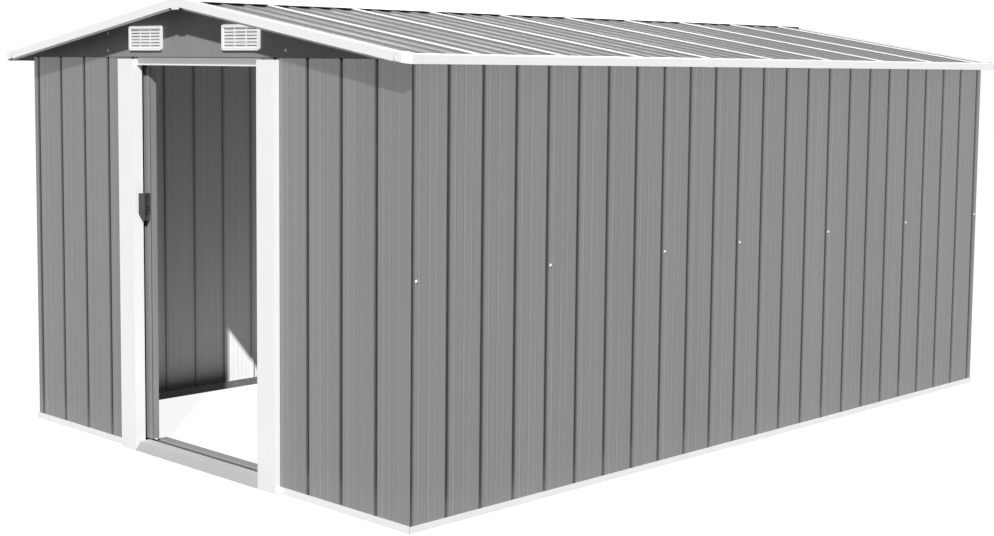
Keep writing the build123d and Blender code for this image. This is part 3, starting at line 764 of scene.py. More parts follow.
class Bench:
    """Opens pieces for the modelling operators, and picks their faces and edges by place."""

    @staticmethod
    def clear() -> None:
        """Leaves edit mode and deselects everything."""
        active = bpy.context.view_layer.objects.active
        if active is not None and active.mode != "OBJECT":
            bpy.ops.object.mode_set(mode="OBJECT")
        bpy.ops.object.select_all(action="DESELECT")

    @staticmethod
    def pick(piece: bpy.types.Object) -> None:
        """Selects one piece alone.

        Args:
            piece: the piece.
        """
        Bench.clear()
        piece.select_set(True)
        bpy.context.view_layer.objects.active = piece

    @staticmethod
    def box(centre: Point, size: Point) -> bpy.types.Object:
        """Adds a block as a start.

        Args:
            centre: its middle.
            size: its three sizes.

        Returns:
            The new piece, its size in its mesh.
        """
        Bench.clear()
        bpy.ops.mesh.primitive_cube_add(size=1.0, location=centre)
        piece = bpy.context.object
        piece.scale = size
        bpy.ops.object.transform_apply(location=True, rotation=True, scale=True)
        return piece

    @staticmethod
    def disc(radius: float, depth: float, sides: int = 24) -> bpy.types.Object:
        """Adds a disc on the ground as a start.

        Args:
            radius: its radius.
            depth: its height.
            sides: how many sides it has.

        Returns:
            The new piece.
        """
        Bench.clear()
        middle = (0, 0, depth / 2)
        bpy.ops.mesh.primitive_cylinder_add(vertices=sides, radius=radius, depth=depth, location=middle)
        bpy.ops.object.transform_apply(location=True, rotation=True, scale=True)
        return bpy.context.object

    @staticmethod
    def strip(size_x: float, size_y: float, cells: tuple[int, int] = (1, 1)) -> bpy.types.Object:
        """Adds a flat sheet on the ground as a start.

        Args:
            size_x: its size along X.
            size_y: its size along Y.
            cells: how many cells it has each way.

        Returns:
            The new piece.
        """
        Bench.clear()
        bpy.ops.mesh.primitive_grid_add(x_subdivisions=cells[0], y_subdivisions=cells[1], size=1.0)
        piece = bpy.context.object
        piece.scale = (size_x, size_y, 1.0)
        bpy.ops.object.transform_apply(location=True, rotation=True, scale=True)
        return piece

    @staticmethod
    def edit(piece: bpy.types.Object, mode: str = "FACE") -> None:
        """Opens a piece in edit mode with nothing selected.

        Args:
            piece: the piece.
            mode: FACE, EDGE or VERT.
        """
        Bench.pick(piece)
        bpy.ops.object.mode_set(mode="EDIT")
        bpy.ops.mesh.select_mode(type=mode)
        bpy.ops.mesh.select_all(action="DESELECT")

    @staticmethod
    def select(piece: bpy.types.Object, kind: str, test: Callable[..., bool]) -> int:
        """Selects parts of the piece that is open, and only those.

        Args:
            piece: the piece.
            kind: FACE, EDGE or VERT.
            test: says which parts.

        Returns:
            How many parts were picked.
        """
        bpy.ops.mesh.select_mode(type=kind)
        bpy.ops.mesh.select_all(action="DESELECT")
        shape = bmesh.from_edit_mesh(piece.data)
        parts = {"FACE": shape.faces, "EDGE": shape.edges, "VERT": shape.verts}[kind]
        found = [part for part in parts if test(part)]
        for part in found:
            part.select_set(True)
        bmesh.update_edit_mesh(piece.data)
        return len(found)

    @staticmethod
    def faces(piece: bpy.types.Object, test: Callable[[bmesh.types.BMFace], bool]) -> int:
        """Selects the faces that the test picks, and says how many."""
        return Bench.select(piece, "FACE", test)

    @staticmethod
    def edges(piece: bpy.types.Object, test: Callable[[Vector, Vector], bool]) -> int:
        """Selects edges of the piece that is open, and only those.

        Args:
            piece: the piece.
            test: says which edges, from their middle and their direction.

        Returns:
            How many edges were picked.
        """

        def picked(edge: bmesh.types.BMEdge) -> bool:
            """Tells whether the test picks this edge."""
            start, end = (vertex.co for vertex in edge.verts)
            return test((start + end) / 2, (end - start).normalized())

        return Bench.select(piece, "EDGE", picked)

    @staticmethod
    def corners(piece: bpy.types.Object, test: Callable[[Vector], bool]) -> int:
        """Selects the points that the test picks by place, and says how many."""
        return Bench.select(piece, "VERT", lambda vertex: test(vertex.co))

    @staticmethod
    def extrude(x: float, y: float, z: float) -> None:
        """Extrudes what is selected by this much each way."""
        bpy.ops.mesh.extrude_region_move(TRANSFORM_OT_translate={"value": (x, y, z)})

    @staticmethod
    def close() -> None:
        """Leaves edit mode."""
        bpy.ops.object.mode_set(mode="OBJECT")

    @staticmethod
    def turn(piece: bpy.types.Object, matrix: Matrix) -> None:
        """Moves a piece, with its place kept in its mesh.

        Args:
            piece: the piece.
            matrix: the move.
        """
        Bench.pick(piece)
        piece.matrix_world = matrix @ piece.matrix_world
        bpy.ops.object.transform_apply(location=True, rotation=True, scale=True)

    @staticmethod
    def copy(piece: bpy.types.Object, name: str, matrix: Matrix) -> bpy.types.Object:
        """Copies a piece with its own mesh.

        Args:
            piece: the piece that is copied.
            name: the copy's name.
            matrix: where the copy goes.

        Returns:
            The copy.
        """
        Bench.pick(piece)
        bpy.ops.object.duplicate(linked=False)
        other = bpy.context.object
        other.name = name
        other.data.name = name
        Bench.turn(other, matrix)
        return other

    @staticmethod
    def mirrored(piece: bpy.types.Object, name: str, across: int = -1, along: int = 1) -> bpy.types.Object:
        """Copies a piece to the other side of the shed, its faces outwards.

        Args:
            piece: the piece that is copied.
            name: the copy's name.
            across: -1 for the other long side.
            along: -1 for the other end.

        Returns:
            The copy.
        """
        other = Bench.copy(piece, name, Matrix.Diagonal((across, along, 1, 1)))
        Bench.outward(other)
        return other

    @staticmethod
    def facing(sign: int) -> Matrix:
        """No turn for the right or front, and half a turn for the left or rear."""
        return Matrix.Rotation(0.0 if sign > 0 else math.pi, 4, "Z")

    @staticmethod
    def join(first: bpy.types.Object, others: Iterable[bpy.types.Object]) -> bpy.types.Object:
        """Joins pieces into one.

        Args:
            first: the piece that the others go into.
            others: the other pieces.

        Returns:
            The first piece.
        """
        Bench.clear()
        for other in others:
            other.select_set(True)
        first.select_set(True)
        bpy.context.view_layer.objects.active = first
        bpy.ops.object.join()
        return first

    @staticmethod
    def apply(piece: bpy.types.Object, kind: str, **settings: object) -> None:
        """Adds a modifier to a piece and applies it.

        Args:
            piece: the piece.
            kind: Blender's name of the modifier.
            **settings: its settings.
        """
        Bench.pick(piece)
        modifier = piece.modifiers.new(kind.lower(), kind)
        for key, setting in settings.items():
            setattr(modifier, key, setting)
        bpy.ops.object.modifier_apply(modifier=modifier.name)

    @staticmethod
    def outward(piece: bpy.types.Object) -> None:
        """Turns every face of a closed piece outwards.

        Args:
            piece: the piece.
        """
        Bench.edit(piece)
        bpy.ops.mesh.select_all(action="SELECT")
        bpy.ops.mesh.remove_doubles(threshold=0.00001)
        bpy.ops.mesh.normals_make_consistent(inside=False)
        Bench.close()

    @staticmethod
    def face_up(piece: bpy.types.Object) -> None:
        """Turns an open sheet's faces all to one side, the upper one.

        Args:
            piece: the sheet.
        """
        Bench.edit(piece)
        bpy.ops.mesh.select_all(action="SELECT")
        bpy.ops.mesh.normals_make_consistent(inside=False)
        Bench.close()
        if sum(polygon.normal.z * polygon.area for polygon in piece.data.polygons) < 0:
            Bench.edit(piece)
            bpy.ops.mesh.select_all(action="SELECT")
            bpy.ops.mesh.flip_normals()
            Bench.close()

    @staticmethod
    def smooth(piece: bpy.types.Object, degrees: float = 35.0) -> None:
        """Smooths a piece's shading where its faces meet at less than this angle."""
        Bench.pick(piece)
        bpy.ops.object.shade_smooth_by_angle(angle=math.radians(degrees))

    @staticmethod
    def remove(piece: bpy.types.Object) -> None:
        """Throws a pattern piece away once it has been copied."""
        bpy.data.objects.remove(piece)

    @staticmethod
    def fit(piece: bpy.types.Object, name: str, finish: Finish, finishes: Finishes, body: Body) -> None:
        """Names a finished piece, dresses it and lets it ride.

        Args:
            piece: the piece.
            name: its name.
            finish: its finish, whose material it gets unless it has its own already.
            finishes: the materials.
            body: the body that it moves with.
        """
        piece.name = name
        piece.data.name = name
        if not piece.data.materials:
            piece.data.materials.append(finishes.own.get(name, finishes.made[finish]))
        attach(piece, body.value)


@dataclass
class Screws:
    """Pan-head sheet screws on white washers, in the laps of the sheets and in the gables."""

    finishes: Finishes
    washer_radius: float = 0.0065
    washer_depth: float = 0.0014
    head_radius: float = 0.0036
    head_depth: float = 0.0032
    lap_height: float = 0.845
    sheet: float = 0.001
    rib_first: float = 0.006
    rib_pitch: float = 0.163
    beside_rib: float = 0.017
    lap_ribs: tuple[int, ...] = (0, 4, 8, 11, 15, 19, 23)
    gable_places: tuple[tuple[float, float], ...] = ((-0.610, 1.672), (-0.609, 1.604), (0.548, 1.6046))

    def pattern(self) -> bpy.types.Object:
        """Models one screw that points up, its washer on the ground.

        Returns:
            The screw.
        """
        screw = Bench.disc(self.washer_radius, self.washer_depth)
        top = self.washer_depth
        Bench.edit(screw)
        Bench.faces(screw, lambda face: face.normal.z > 0.9)
        bpy.ops.mesh.inset(thickness=self.washer_radius - self.head_radius, depth=0.0004)
        Bench.extrude(0, 0, self.head_depth * 0.6)
        Bench.extrude(0, 0, self.head_depth * 0.4)
        bpy.ops.transform.resize(value=(0.62, 0.62, 1.0))
        bpy.ops.mesh.inset(thickness=0.0011, depth=0.0)
        bpy.ops.mesh.inset(thickness=0.0002, depth=-0.0009)
        Bench.edges(screw, lambda middle, way: abs(middle.z - top) < 1e-5 and abs(way.z) < 0.1)
        bpy.ops.mesh.bevel(offset=0.0004, segments=2)
        Bench.close()
        screw.data.materials.append(self.finishes.made[Finish.WHITE_PLASTIC])
        screw.data.materials.append(self.finishes.screw)
        for polygon in screw.data.polygons:
            if polygon.center.z > top + 0.0005 and polygon.center.xy.length < self.head_radius * 1.05:
                polygon.material_index = 1
        Bench.smooth(screw, 40)
        return screw

    def build(self) -> None:
        """Sets a screw in each lap of the side walls and in each place of the gables."""
        pattern = self.pattern()
        low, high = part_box("right_wall_panel_1")
        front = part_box("front_gable")[0].y
        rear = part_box("rear_gable")[1].y
        places = []
        for side, sign in SIDES:
            outward = Matrix.Rotation(math.radians(90 * sign), 4, "Y")
            for rib in self.lap_ribs:
                along = low.y - self.sheet + self.rib_first + self.rib_pitch * rib + self.beside_rib
                spot = (sign * high.x, along, self.lap_height)
                places.append((f"lap_screw_{side}_{rib + 1}", spot, outward))
        for wall, face_y, sign in (("front", front, 1), ("rear", rear, -1)):
            outward = Matrix.Rotation(math.radians(90 * sign), 4, "X")
            for number, (x, z) in enumerate(self.gable_places, start=1):
                places.append((f"gable_screw_{wall}_{number}", (sign * x, face_y, z), outward))
        for name, spot, outward in places:
            screw = Bench.copy(pattern, name, Matrix.Translation(spot) @ outward)
            Bench.fit(screw, name, Finish.WHITE_PLASTIC, self.finishes, Body.SHED)
        Bench.remove(pattern)
        LOG.info("screws: %d", len(places))


@dataclass
class Vents:
    """Moulded grilles in the gables: a rounded frame, a recessed field of slots, a blade in each."""

    finishes: Finishes
    width: float = 0.228
    height: float = 0.095
    depth: float = 0.008
    corner: float = 0.010
    rim: float = 0.013
    columns: int = 3
    rows: int = 6
    rim_chamfer: float = 0.0022
    field_depth: float = 0.0022
    field_lap: float = 0.002
    field_sheet: float = 0.0022
    bar: float = 0.0030
    blade_depth: float = 0.0070
    blade_tilt: float = 16.0
    blade_sheet: float = 0.0011
    blade_gap: float = 0.004
    blade_back: float = 0.0040
    blade_drop: float = 0.0014
    centres: tuple[float, float] = (-0.335, 0.286)

    def field_size(self) -> tuple[float, float]:
        """Width and height of the slotted field, with its lap under the rim."""
        less = 2 * self.rim - 2 * self.field_lap
        return self.width - less, self.height - less

    def frame_ring(self) -> bpy.types.Object:
        """Models the frame, facing -Y, with its back at y 0.

        Returns:
            The frame.
        """
        ring = Bench.box((0, -self.depth / 2, 0), (self.width, self.depth, self.height))
        Bench.edit(ring)
        Bench.edges(ring, lambda middle, way: abs(way.y) > 0.9)
        bpy.ops.mesh.bevel(offset=self.corner, segments=6)
        Bench.faces(ring, lambda face: face.normal.y < -0.9)
        bpy.ops.mesh.inset(thickness=self.rim_chamfer, depth=0.0)
        bpy.ops.mesh.inset(thickness=self.rim - 2 * self.rim_chamfer, depth=0.0)
        bpy.ops.mesh.inset(thickness=0.0016, depth=0.0)
        bpy.ops.transform.translate(value=(0, self.field_depth, 0))
        bpy.ops.mesh.delete(type="FACE")
        Bench.faces(ring, lambda face: face.normal.y > 0.9)
        bpy.ops.mesh.delete(type="FACE")
        Bench.close()
        return ring

    def slotted_field(self) -> bpy.types.Object:
        """Models the field with its slots.

        Returns:
            The field.
        """
        sheet = Bench.strip(*self.field_size(), (self.columns, self.rows))
        stand = Matrix.Rotation(math.radians(90), 4, "X")
        Bench.turn(sheet, Matrix.Translation((0, -self.depth + self.field_depth, 0)) @ stand)
        Bench.edit(sheet)
        bpy.ops.mesh.select_all(action="SELECT")
        bpy.ops.mesh.inset(use_individual=True, thickness=self.bar, depth=0.0)
        bpy.ops.mesh.delete(type="FACE")
        Bench.close()
        Bench.apply(sheet, "SOLIDIFY", thickness=self.field_sheet, offset=-1.0)
        return sheet

    def blades(self) -> list[bpy.types.Object]:
        """Models one tilted blade and copies it behind every slot.

        Returns:
            The blades.
        """
        wide, tall = self.field_size()
        cell_x = wide / self.columns
        cell_z = tall / self.rows
        blade = Bench.box((0, 0, 0), (cell_x - self.blade_gap, self.blade_depth, self.blade_sheet))
        Bench.edit(blade)
        Bench.edges(blade, lambda middle, way: abs(way.x) > 0.9 and middle.y < 0)
        bpy.ops.mesh.bevel(offset=0.0004, segments=2)
        Bench.close()
        Bench.turn(blade, Matrix.Rotation(math.radians(self.blade_tilt), 4, "X"))
        made = []
        y = -self.depth + self.field_depth + self.blade_back
        for column in range(self.columns):
            for row in range(self.rows):
                x = (column - (self.columns - 1) / 2) * cell_x
                z = (row - (self.rows - 1) / 2) * cell_z - self.blade_drop
                made.append(Bench.copy(blade, "blade", Matrix.Translation((x, y, z))))
        Bench.remove(blade)
        return made

    def build(self) -> None:
        """Models one grille and sets it in its four places."""
        grille = Bench.join(self.frame_ring(), [self.slotted_field(), *self.blades()])
        Bench.smooth(grille, 30)
        low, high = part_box("gable_vents")
        middle_z = (low.z + high.z) / 2
        number = 0
        for wall, face_y, sign in (("front", low.y + self.depth, 1), ("rear", high.y - self.depth, -1)):
            for x in self.centres:
                number += 1
                place = Matrix.Translation((sign * x, face_y, middle_z)) @ Bench.facing(sign)
                vent = Bench.copy(grille, f"vent_{wall}_{number}", place)
                Bench.fit(vent, vent.name, Finish.WHITE_PLASTIC, self.finishes, Body.SHED)
                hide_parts("gable_vents")
        Bench.remove(grille)
        LOG.info("vents: %d", number)


@dataclass
class RoofFittings:
    """White caps over the standing seams, and sleeves over the joints of the eave trims."""

    finishes: Finishes
    seam_first: float = -1.613
    seam_pitch: float = 0.424
    seam_count: int = 9
    seam_base: float = 0.018
    seam_top: float = 0.012
    seam_height: float = 0.010
    spare: float = 0.0003
    cap_sheet: float = 0.0006
    cap_lip: float = 0.0035
    cap_start: float = 0.0915
    cap_end: float = 1.2535
    sleeve_places: tuple[float, ...] = (-0.406, 0.338)
    sleeve_length: float = 0.050
    sleeve_sheet: float = 0.0008
    sleeve_spare: float = 0.0002
    sleeve_short: float = 0.002
    sleeve_hook: float = 0.008
    fascia: float = 0.030
    flange: float = 0.030

    def seam_cap(self) -> bpy.types.Object:
        """Models one seam cap that lies along X from 0, the roof pan at z 0.

        Returns:
            The cap.
        """
        length = (self.cap_end - self.cap_start) / math.cos(TILT)
        top_half = self.seam_top / 2 + self.spare
        spread = self.cap_lip * (self.seam_base - self.seam_top) / 2 / self.seam_height
        level = self.seam_height + self.spare
        cap = Bench.strip(length, 2 * top_half)
        Bench.turn(cap, Matrix.Translation((length / 2, 0, level)))
        for sign in (-1, 1):
            Bench.edit(cap, "EDGE")
            rim = sign * top_half
            Bench.edges(cap, lambda middle, way, y=rim: abs(way.x) > 0.9 and abs(middle.y - y) < 1e-5)
            Bench.extrude(0, sign * spread, -self.cap_lip)
            Bench.close()
        Bench.face_up(cap)
        Bench.apply(cap, "SOLIDIFY", thickness=self.cap_sheet, offset=1.0)
        return cap

    def sleeve(self) -> bpy.types.Object:
        """Models one joint sleeve for the right eave, its middle at y 0.

        Returns:
            The sleeve.
        """
        low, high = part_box("eave_trim_right")
        top = low.z + self.fascia
        sleeve = Bench.strip(self.sleeve_length, self.fascia + 2 * self.sleeve_spare)
        stand = Matrix.Rotation(math.radians(90), 4, "Z") @ Matrix.Rotation(math.radians(90), 4, "X")
        Bench.turn(sleeve, Matrix.Translation((high.x + self.sleeve_spare, 0, top - self.fascia / 2)) @ stand)
        Bench.edit(sleeve, "EDGE")
        near = 0.001
        Bench.edges(sleeve, lambda middle, way: middle.z > top - near and abs(way.y) > 0.9)
        back = self.flange - self.sleeve_short
        Bench.extrude(-back, 0, back * SLOPE)
        Bench.edges(sleeve, lambda middle, way: middle.z < top - self.fascia + near and abs(way.y) > 0.9)
        Bench.extrude(-self.sleeve_hook, 0, 0)
        bpy.ops.mesh.select_all(action="SELECT")
        bpy.ops.mesh.normals_make_consistent(inside=False)
        if sum(face.normal.x for face in bmesh.from_edit_mesh(sleeve.data).faces) < 0:
            bpy.ops.mesh.flip_normals()
        Bench.close()
        Bench.apply(sleeve, "SOLIDIFY", thickness=self.sleeve_sheet, offset=1.0)
        return sleeve

    def build(self) -> None:
        """Sets the caps and the sleeves on both sides of the roof."""
        cap = self.seam_cap()
        start = PAN_AT_RIDGE - SLOPE * self.cap_start
        lean = Matrix.Rotation(TILT, 4, "Y")
        sleeve = self.sleeve()
        for side, sign in SIDES:
            for number in range(self.seam_count):
                y = self.seam_first + self.seam_pitch * number - self.seam_base / 2
                place = Matrix.Translation((sign * self.cap_start, y, start)) @ Bench.facing(sign) @ lean
                piece = Bench.copy(cap, f"seam_cap_{side}_{number + 1}", place)
                Bench.fit(piece, piece.name, Finish.TRIM, self.finishes, Body.SHED)
            for number, y in enumerate(self.sleeve_places, start=1):
                place = Matrix.Translation((0, y, 0)) @ Bench.facing(sign)
                piece = Bench.copy(sleeve, f"eave_sleeve_{side}_{number}", place)
                Bench.fit(piece, piece.name, Finish.TRIM, self.finishes, Body.SHED)
        Bench.remove(cap)
        Bench.remove(sleeve)
        LOG.info("roof: %d seam caps and %d sleeves", 2 * self.seam_count, 2 * len(self.sleeve_places))


@dataclass
class CornerCaps:
    """White chamfered caps where the rake trims meet the eave trims."""

    finishes: Finishes
    length: float = 0.060
    chamfer: float = 0.025
    drop: float = 0.031
    spare: float = 0.0006
    sheet: float = 0.0012

    def cap(self) -> bpy.types.Object:
        """Models the cap of the front right corner.

        Returns:
            The cap.
        """
        low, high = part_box("eave_corner_caps")
        level = high.z - self.length * SLOPE + self.spare
        size = self.length + self.spare
        cap = Bench.strip(size / math.cos(TILT), size)
        Bench.edit(cap, "VERT")
        Bench.corners(cap, lambda point: point.x > 0 and point.y < 0)
        bpy.ops.mesh.bevel(offset=self.chamfer, affect="VERTICES")
        Bench.close()
        centre = (high.x + self.spare - size / 2, low.y - self.spare + size / 2, level + size / 2 * SLOPE)
        Bench.turn(cap, Matrix.Translation(centre) @ Matrix.Rotation(TILT, 4, "Y"))
        Bench.edit(cap, "EDGE")
        near = 0.002
        inner_x = high.x - self.length + near
        inner_y = low.y + self.length - near
        Bench.edges(cap, lambda at, way: at.x > inner_x and at.y < inner_y)
        Bench.extrude(0, 0, -self.drop)
        Bench.close()
        Bench.face_up(cap)
        Bench.apply(cap, "SOLIDIFY", thickness=self.sheet, offset=-1.0)
        return cap

    def build(self) -> None:
        """Sets the cap on the four corners."""
        pattern = self.cap()
        for corner, (across, along) in CORNERS.items():
            piece = Bench.mirrored(pattern, f"corner_cap_{corner}", across, along)
            Bench.fit(piece, piece.name, Finish.TRIM, self.finishes, Body.SHED)
            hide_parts("eave_corner_caps")
        Bench.remove(pattern)
        LOG.info("corner caps: %d", len(CORNERS))


@dataclass
class BaseRails:
    """The side walls' base channels, mitred at the corners, with a low outer flange."""

    finishes: Finishes
    outer_height: float = 0.023
    sheet: float = 0.0012

    def rail(self) -> bpy.types.Object:
        """Models the right rail.

        Returns:
            The rail.
        """
        low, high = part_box("base_rail_right")
        centre = (low + high) / 2
        width = high.x - low.x
        rail = Bench.box(tuple(centre), tuple(high - low))
        Bench.edit(rail)
        Bench.faces(rail, lambda face: face.normal.z > 0.9 or abs(face.normal.y) > 0.9)
        bpy.ops.mesh.delete(type="FACE")
        for end in (-1, 1):
            Bench.corners(rail, lambda point, e=end: point.x < centre.x and point.y * e > 0)
            bpy.ops.transform.translate(value=(0, -end * width, 0))
        Bench.corners(rail, lambda point: point.x > centre.x and point.z > centre.z)
        bpy.ops.transform.translate(value=(0, 0, self.outer_height - high.z))
        Bench.close()
        Bench.apply(rail, "SOLIDIFY", thickness=self.sheet, offset=-1.0)
        return rail

    def build(self) -> None:
        """Sets the rail under both side walls."""
        rail = self.rail()
        other = Bench.mirrored(rail, "side_rail_left")
        for piece, side in ((rail, "right"), (other, "left")):
            piece.data.materials.append(self.finishes.own[f"base_rail_{side}"])
            Bench.fit(piece, f"side_rail_{side}", Finish.TRIM, self.finishes, Body.SHED)
            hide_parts(f"base_rail_{side}")
        LOG.info("side rails: 2")


@dataclass
class VergeLips:
    """Folded lips of the rake trims: one down to the roof pan, one under the face."""

    finishes: Finishes
    pan_gap: float = 0.0004
    lip_height: float = 0.0098
    lip_start: float = 0.0925
    lip_end: float = 1.2245
    lip_place: float = 1.9535
    hem_start: float = 0.045
    hem_end: float = 1.219
    hem_level: float = 1.5670
    hem_reach: float = 0.006
    face_place: float = 1.9885
    sheet: float = 0.0010

    def ribbon(
        self, start: float, end: float, level: float, place: float, rise: tuple[float, float]
    ) -> bpy.types.Object:
        """Models one lip of the front right verge.

        Args:
            start: where it starts across the shed.
            end: where it ends across the shed.
            level: its height at the start.
            place: how far it lies in front of the middle.
            rise: how far it goes back and up from there.

        Returns:
            The lip.
        """
        length = (end - start) / math.cos(TILT)
        seed = 0.001
        lip = Bench.strip(length, seed)
        Bench.turn(lip, Matrix.Translation((length / 2, seed / 2, 0)))
        Bench.edit(lip, "VERT")
        Bench.corners(lip, lambda point: point.y > seed / 2)
        bpy.ops.transform.translate(value=(0, rise[0] - seed, rise[1]))
        Bench.close()
        Bench.apply(lip, "SOLIDIFY", thickness=self.sheet, offset=0.0)
        Bench.turn(lip, Matrix.Translation((start, -place, level)) @ Matrix.Rotation(TILT, 4, "Y"))
        Bench.outward(lip)
        return lip

    def build(self) -> None:
        """Sets both lips on the four verges."""
        pan = LIP_PAN + self.pan_gap - self.lip_start * SLOPE
        top = self.ribbon(self.lip_start, self.lip_end, pan, self.lip_place, (0.0, self.lip_height))
        start = self.hem_level + (self.hem_end - self.hem_start) * SLOPE
        reach = (self.hem_reach, -self.hem_reach)
        hem = self.ribbon(self.hem_start, self.hem_end, start, self.face_place, reach)
        for kind, pattern in (("lip", top), ("hem", hem)):
            for verge, (across, along) in CORNERS.items():
                piece = Bench.mirrored(pattern, f"rake_{kind}_{verge}", across, along)
                Bench.fit(piece, piece.name, Finish.TRIM, self.finishes, Body.SHED)
            Bench.remove(pattern)
        LOG.info("verges: 8 lips")


@dataclass
class Threshold:
    """The foot of the doorway: a bent sill plate, a sill behind the track and the jambs' feet."""

    finishes: Finishes
    half_width: float = 0.4015
    foot: float = -1.922
    bend: float = -1.9000
    back: float = -1.8575
    top: float = 0.0352
    ground_gap: float = 0.001
    sheet: float = 0.0012
    rear_front: float = -1.820
    rear_back: float = -1.774
    rear_top: float = 0.033

    def plate(self) -> bpy.types.Object:
        """Models the sill plate: flat over the rail, then bent down to the ground.

        Returns:
            The plate.
        """
        plate = Bench.strip(2 * self.half_width, self.back - self.bend)
        Bench.turn(plate, Matrix.Translation((0, (self.back + self.bend) / 2, self.top)))
        Bench.edit(plate, "EDGE")
        Bench.edges(plate, lambda at, way: at.y < self.bend + 0.001)
        Bench.extrude(0, self.foot - self.bend, self.ground_gap - self.top)
        Bench.close()
        Bench.face_up(plate)
        Bench.apply(plate, "SOLIDIFY", thickness=self.sheet, offset=1.0)
        sharp = math.radians(50)
        Bench.apply(plate, "BEVEL", width=0.0004, segments=2, limit_method="ANGLE", angle_limit=sharp)
        return plate

    def rear_sill(self) -> bpy.types.Object:
        """Models the sill behind the lower track: a low channel, open below.

        Returns:
            The sill.
        """
        centre = (0, (self.rear_back + self.rear_front) / 2, self.rear_top / 2)
        sill = Bench.box(centre, (2 * self.half_width, self.rear_back - self.rear_front, self.rear_top))
        Bench.edit(sill)
        Bench.faces(sill, lambda face: face.normal.z < -0.9)
        bpy.ops.mesh.delete(type="FACE")
        Bench.edges(sill, lambda at, way: at.z > self.rear_top - 0.001 and abs(way.x) > 0.9)
        bpy.ops.mesh.bevel(offset=0.003, segments=3)
        Bench.close()
        Bench.apply(sill, "SOLIDIFY", thickness=self.sheet, offset=-1.0)
        return sill

    def jamb_foot(self) -> bpy.types.Object:
        """Models the right jamb's foot, from the ground to the jamb.

        Returns:
            The foot.
        """
        low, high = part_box("door_jamb_right")
        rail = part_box("base_rail_front")[0].y
        centre = ((low.x + high.x) / 2, (low.y + rail) / 2, low.z / 2)
        foot = Bench.box(centre, (high.x - low.x, rail - low.y, low.z))
        Bench.edit(foot)
        Bench.faces(foot, lambda face: abs(face.normal.z) > 0.9)
        bpy.ops.mesh.delete(type="FACE")
        Bench.close()
        Bench.apply(foot, "SOLIDIFY", thickness=self.sheet, offset=-1.0)
        return foot

    def build(self) -> None:
        """Sets the plate, the rear sill and a foot under both jambs."""
        plate = self.plate()
        Bench.fit(plate, "sill_plate", Finish.ZINC, self.finishes, Body.SHED)
        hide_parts("door_ramp")
        Bench.fit(self.rear_sill(), "rear_sill", Finish.ZINC, self.finishes, Body.SHED)
        foot = self.jamb_foot()
        other = Bench.mirrored(foot, "jamb_foot_left")
        Bench.fit(foot, "jamb_foot_right", Finish.TRIM, self.finishes, Body.SHED)
        Bench.fit(other, "jamb_foot_left", Finish.TRIM, self.finishes, Body.SHED)
        LOG.info("threshold: plate, sill and two feet")


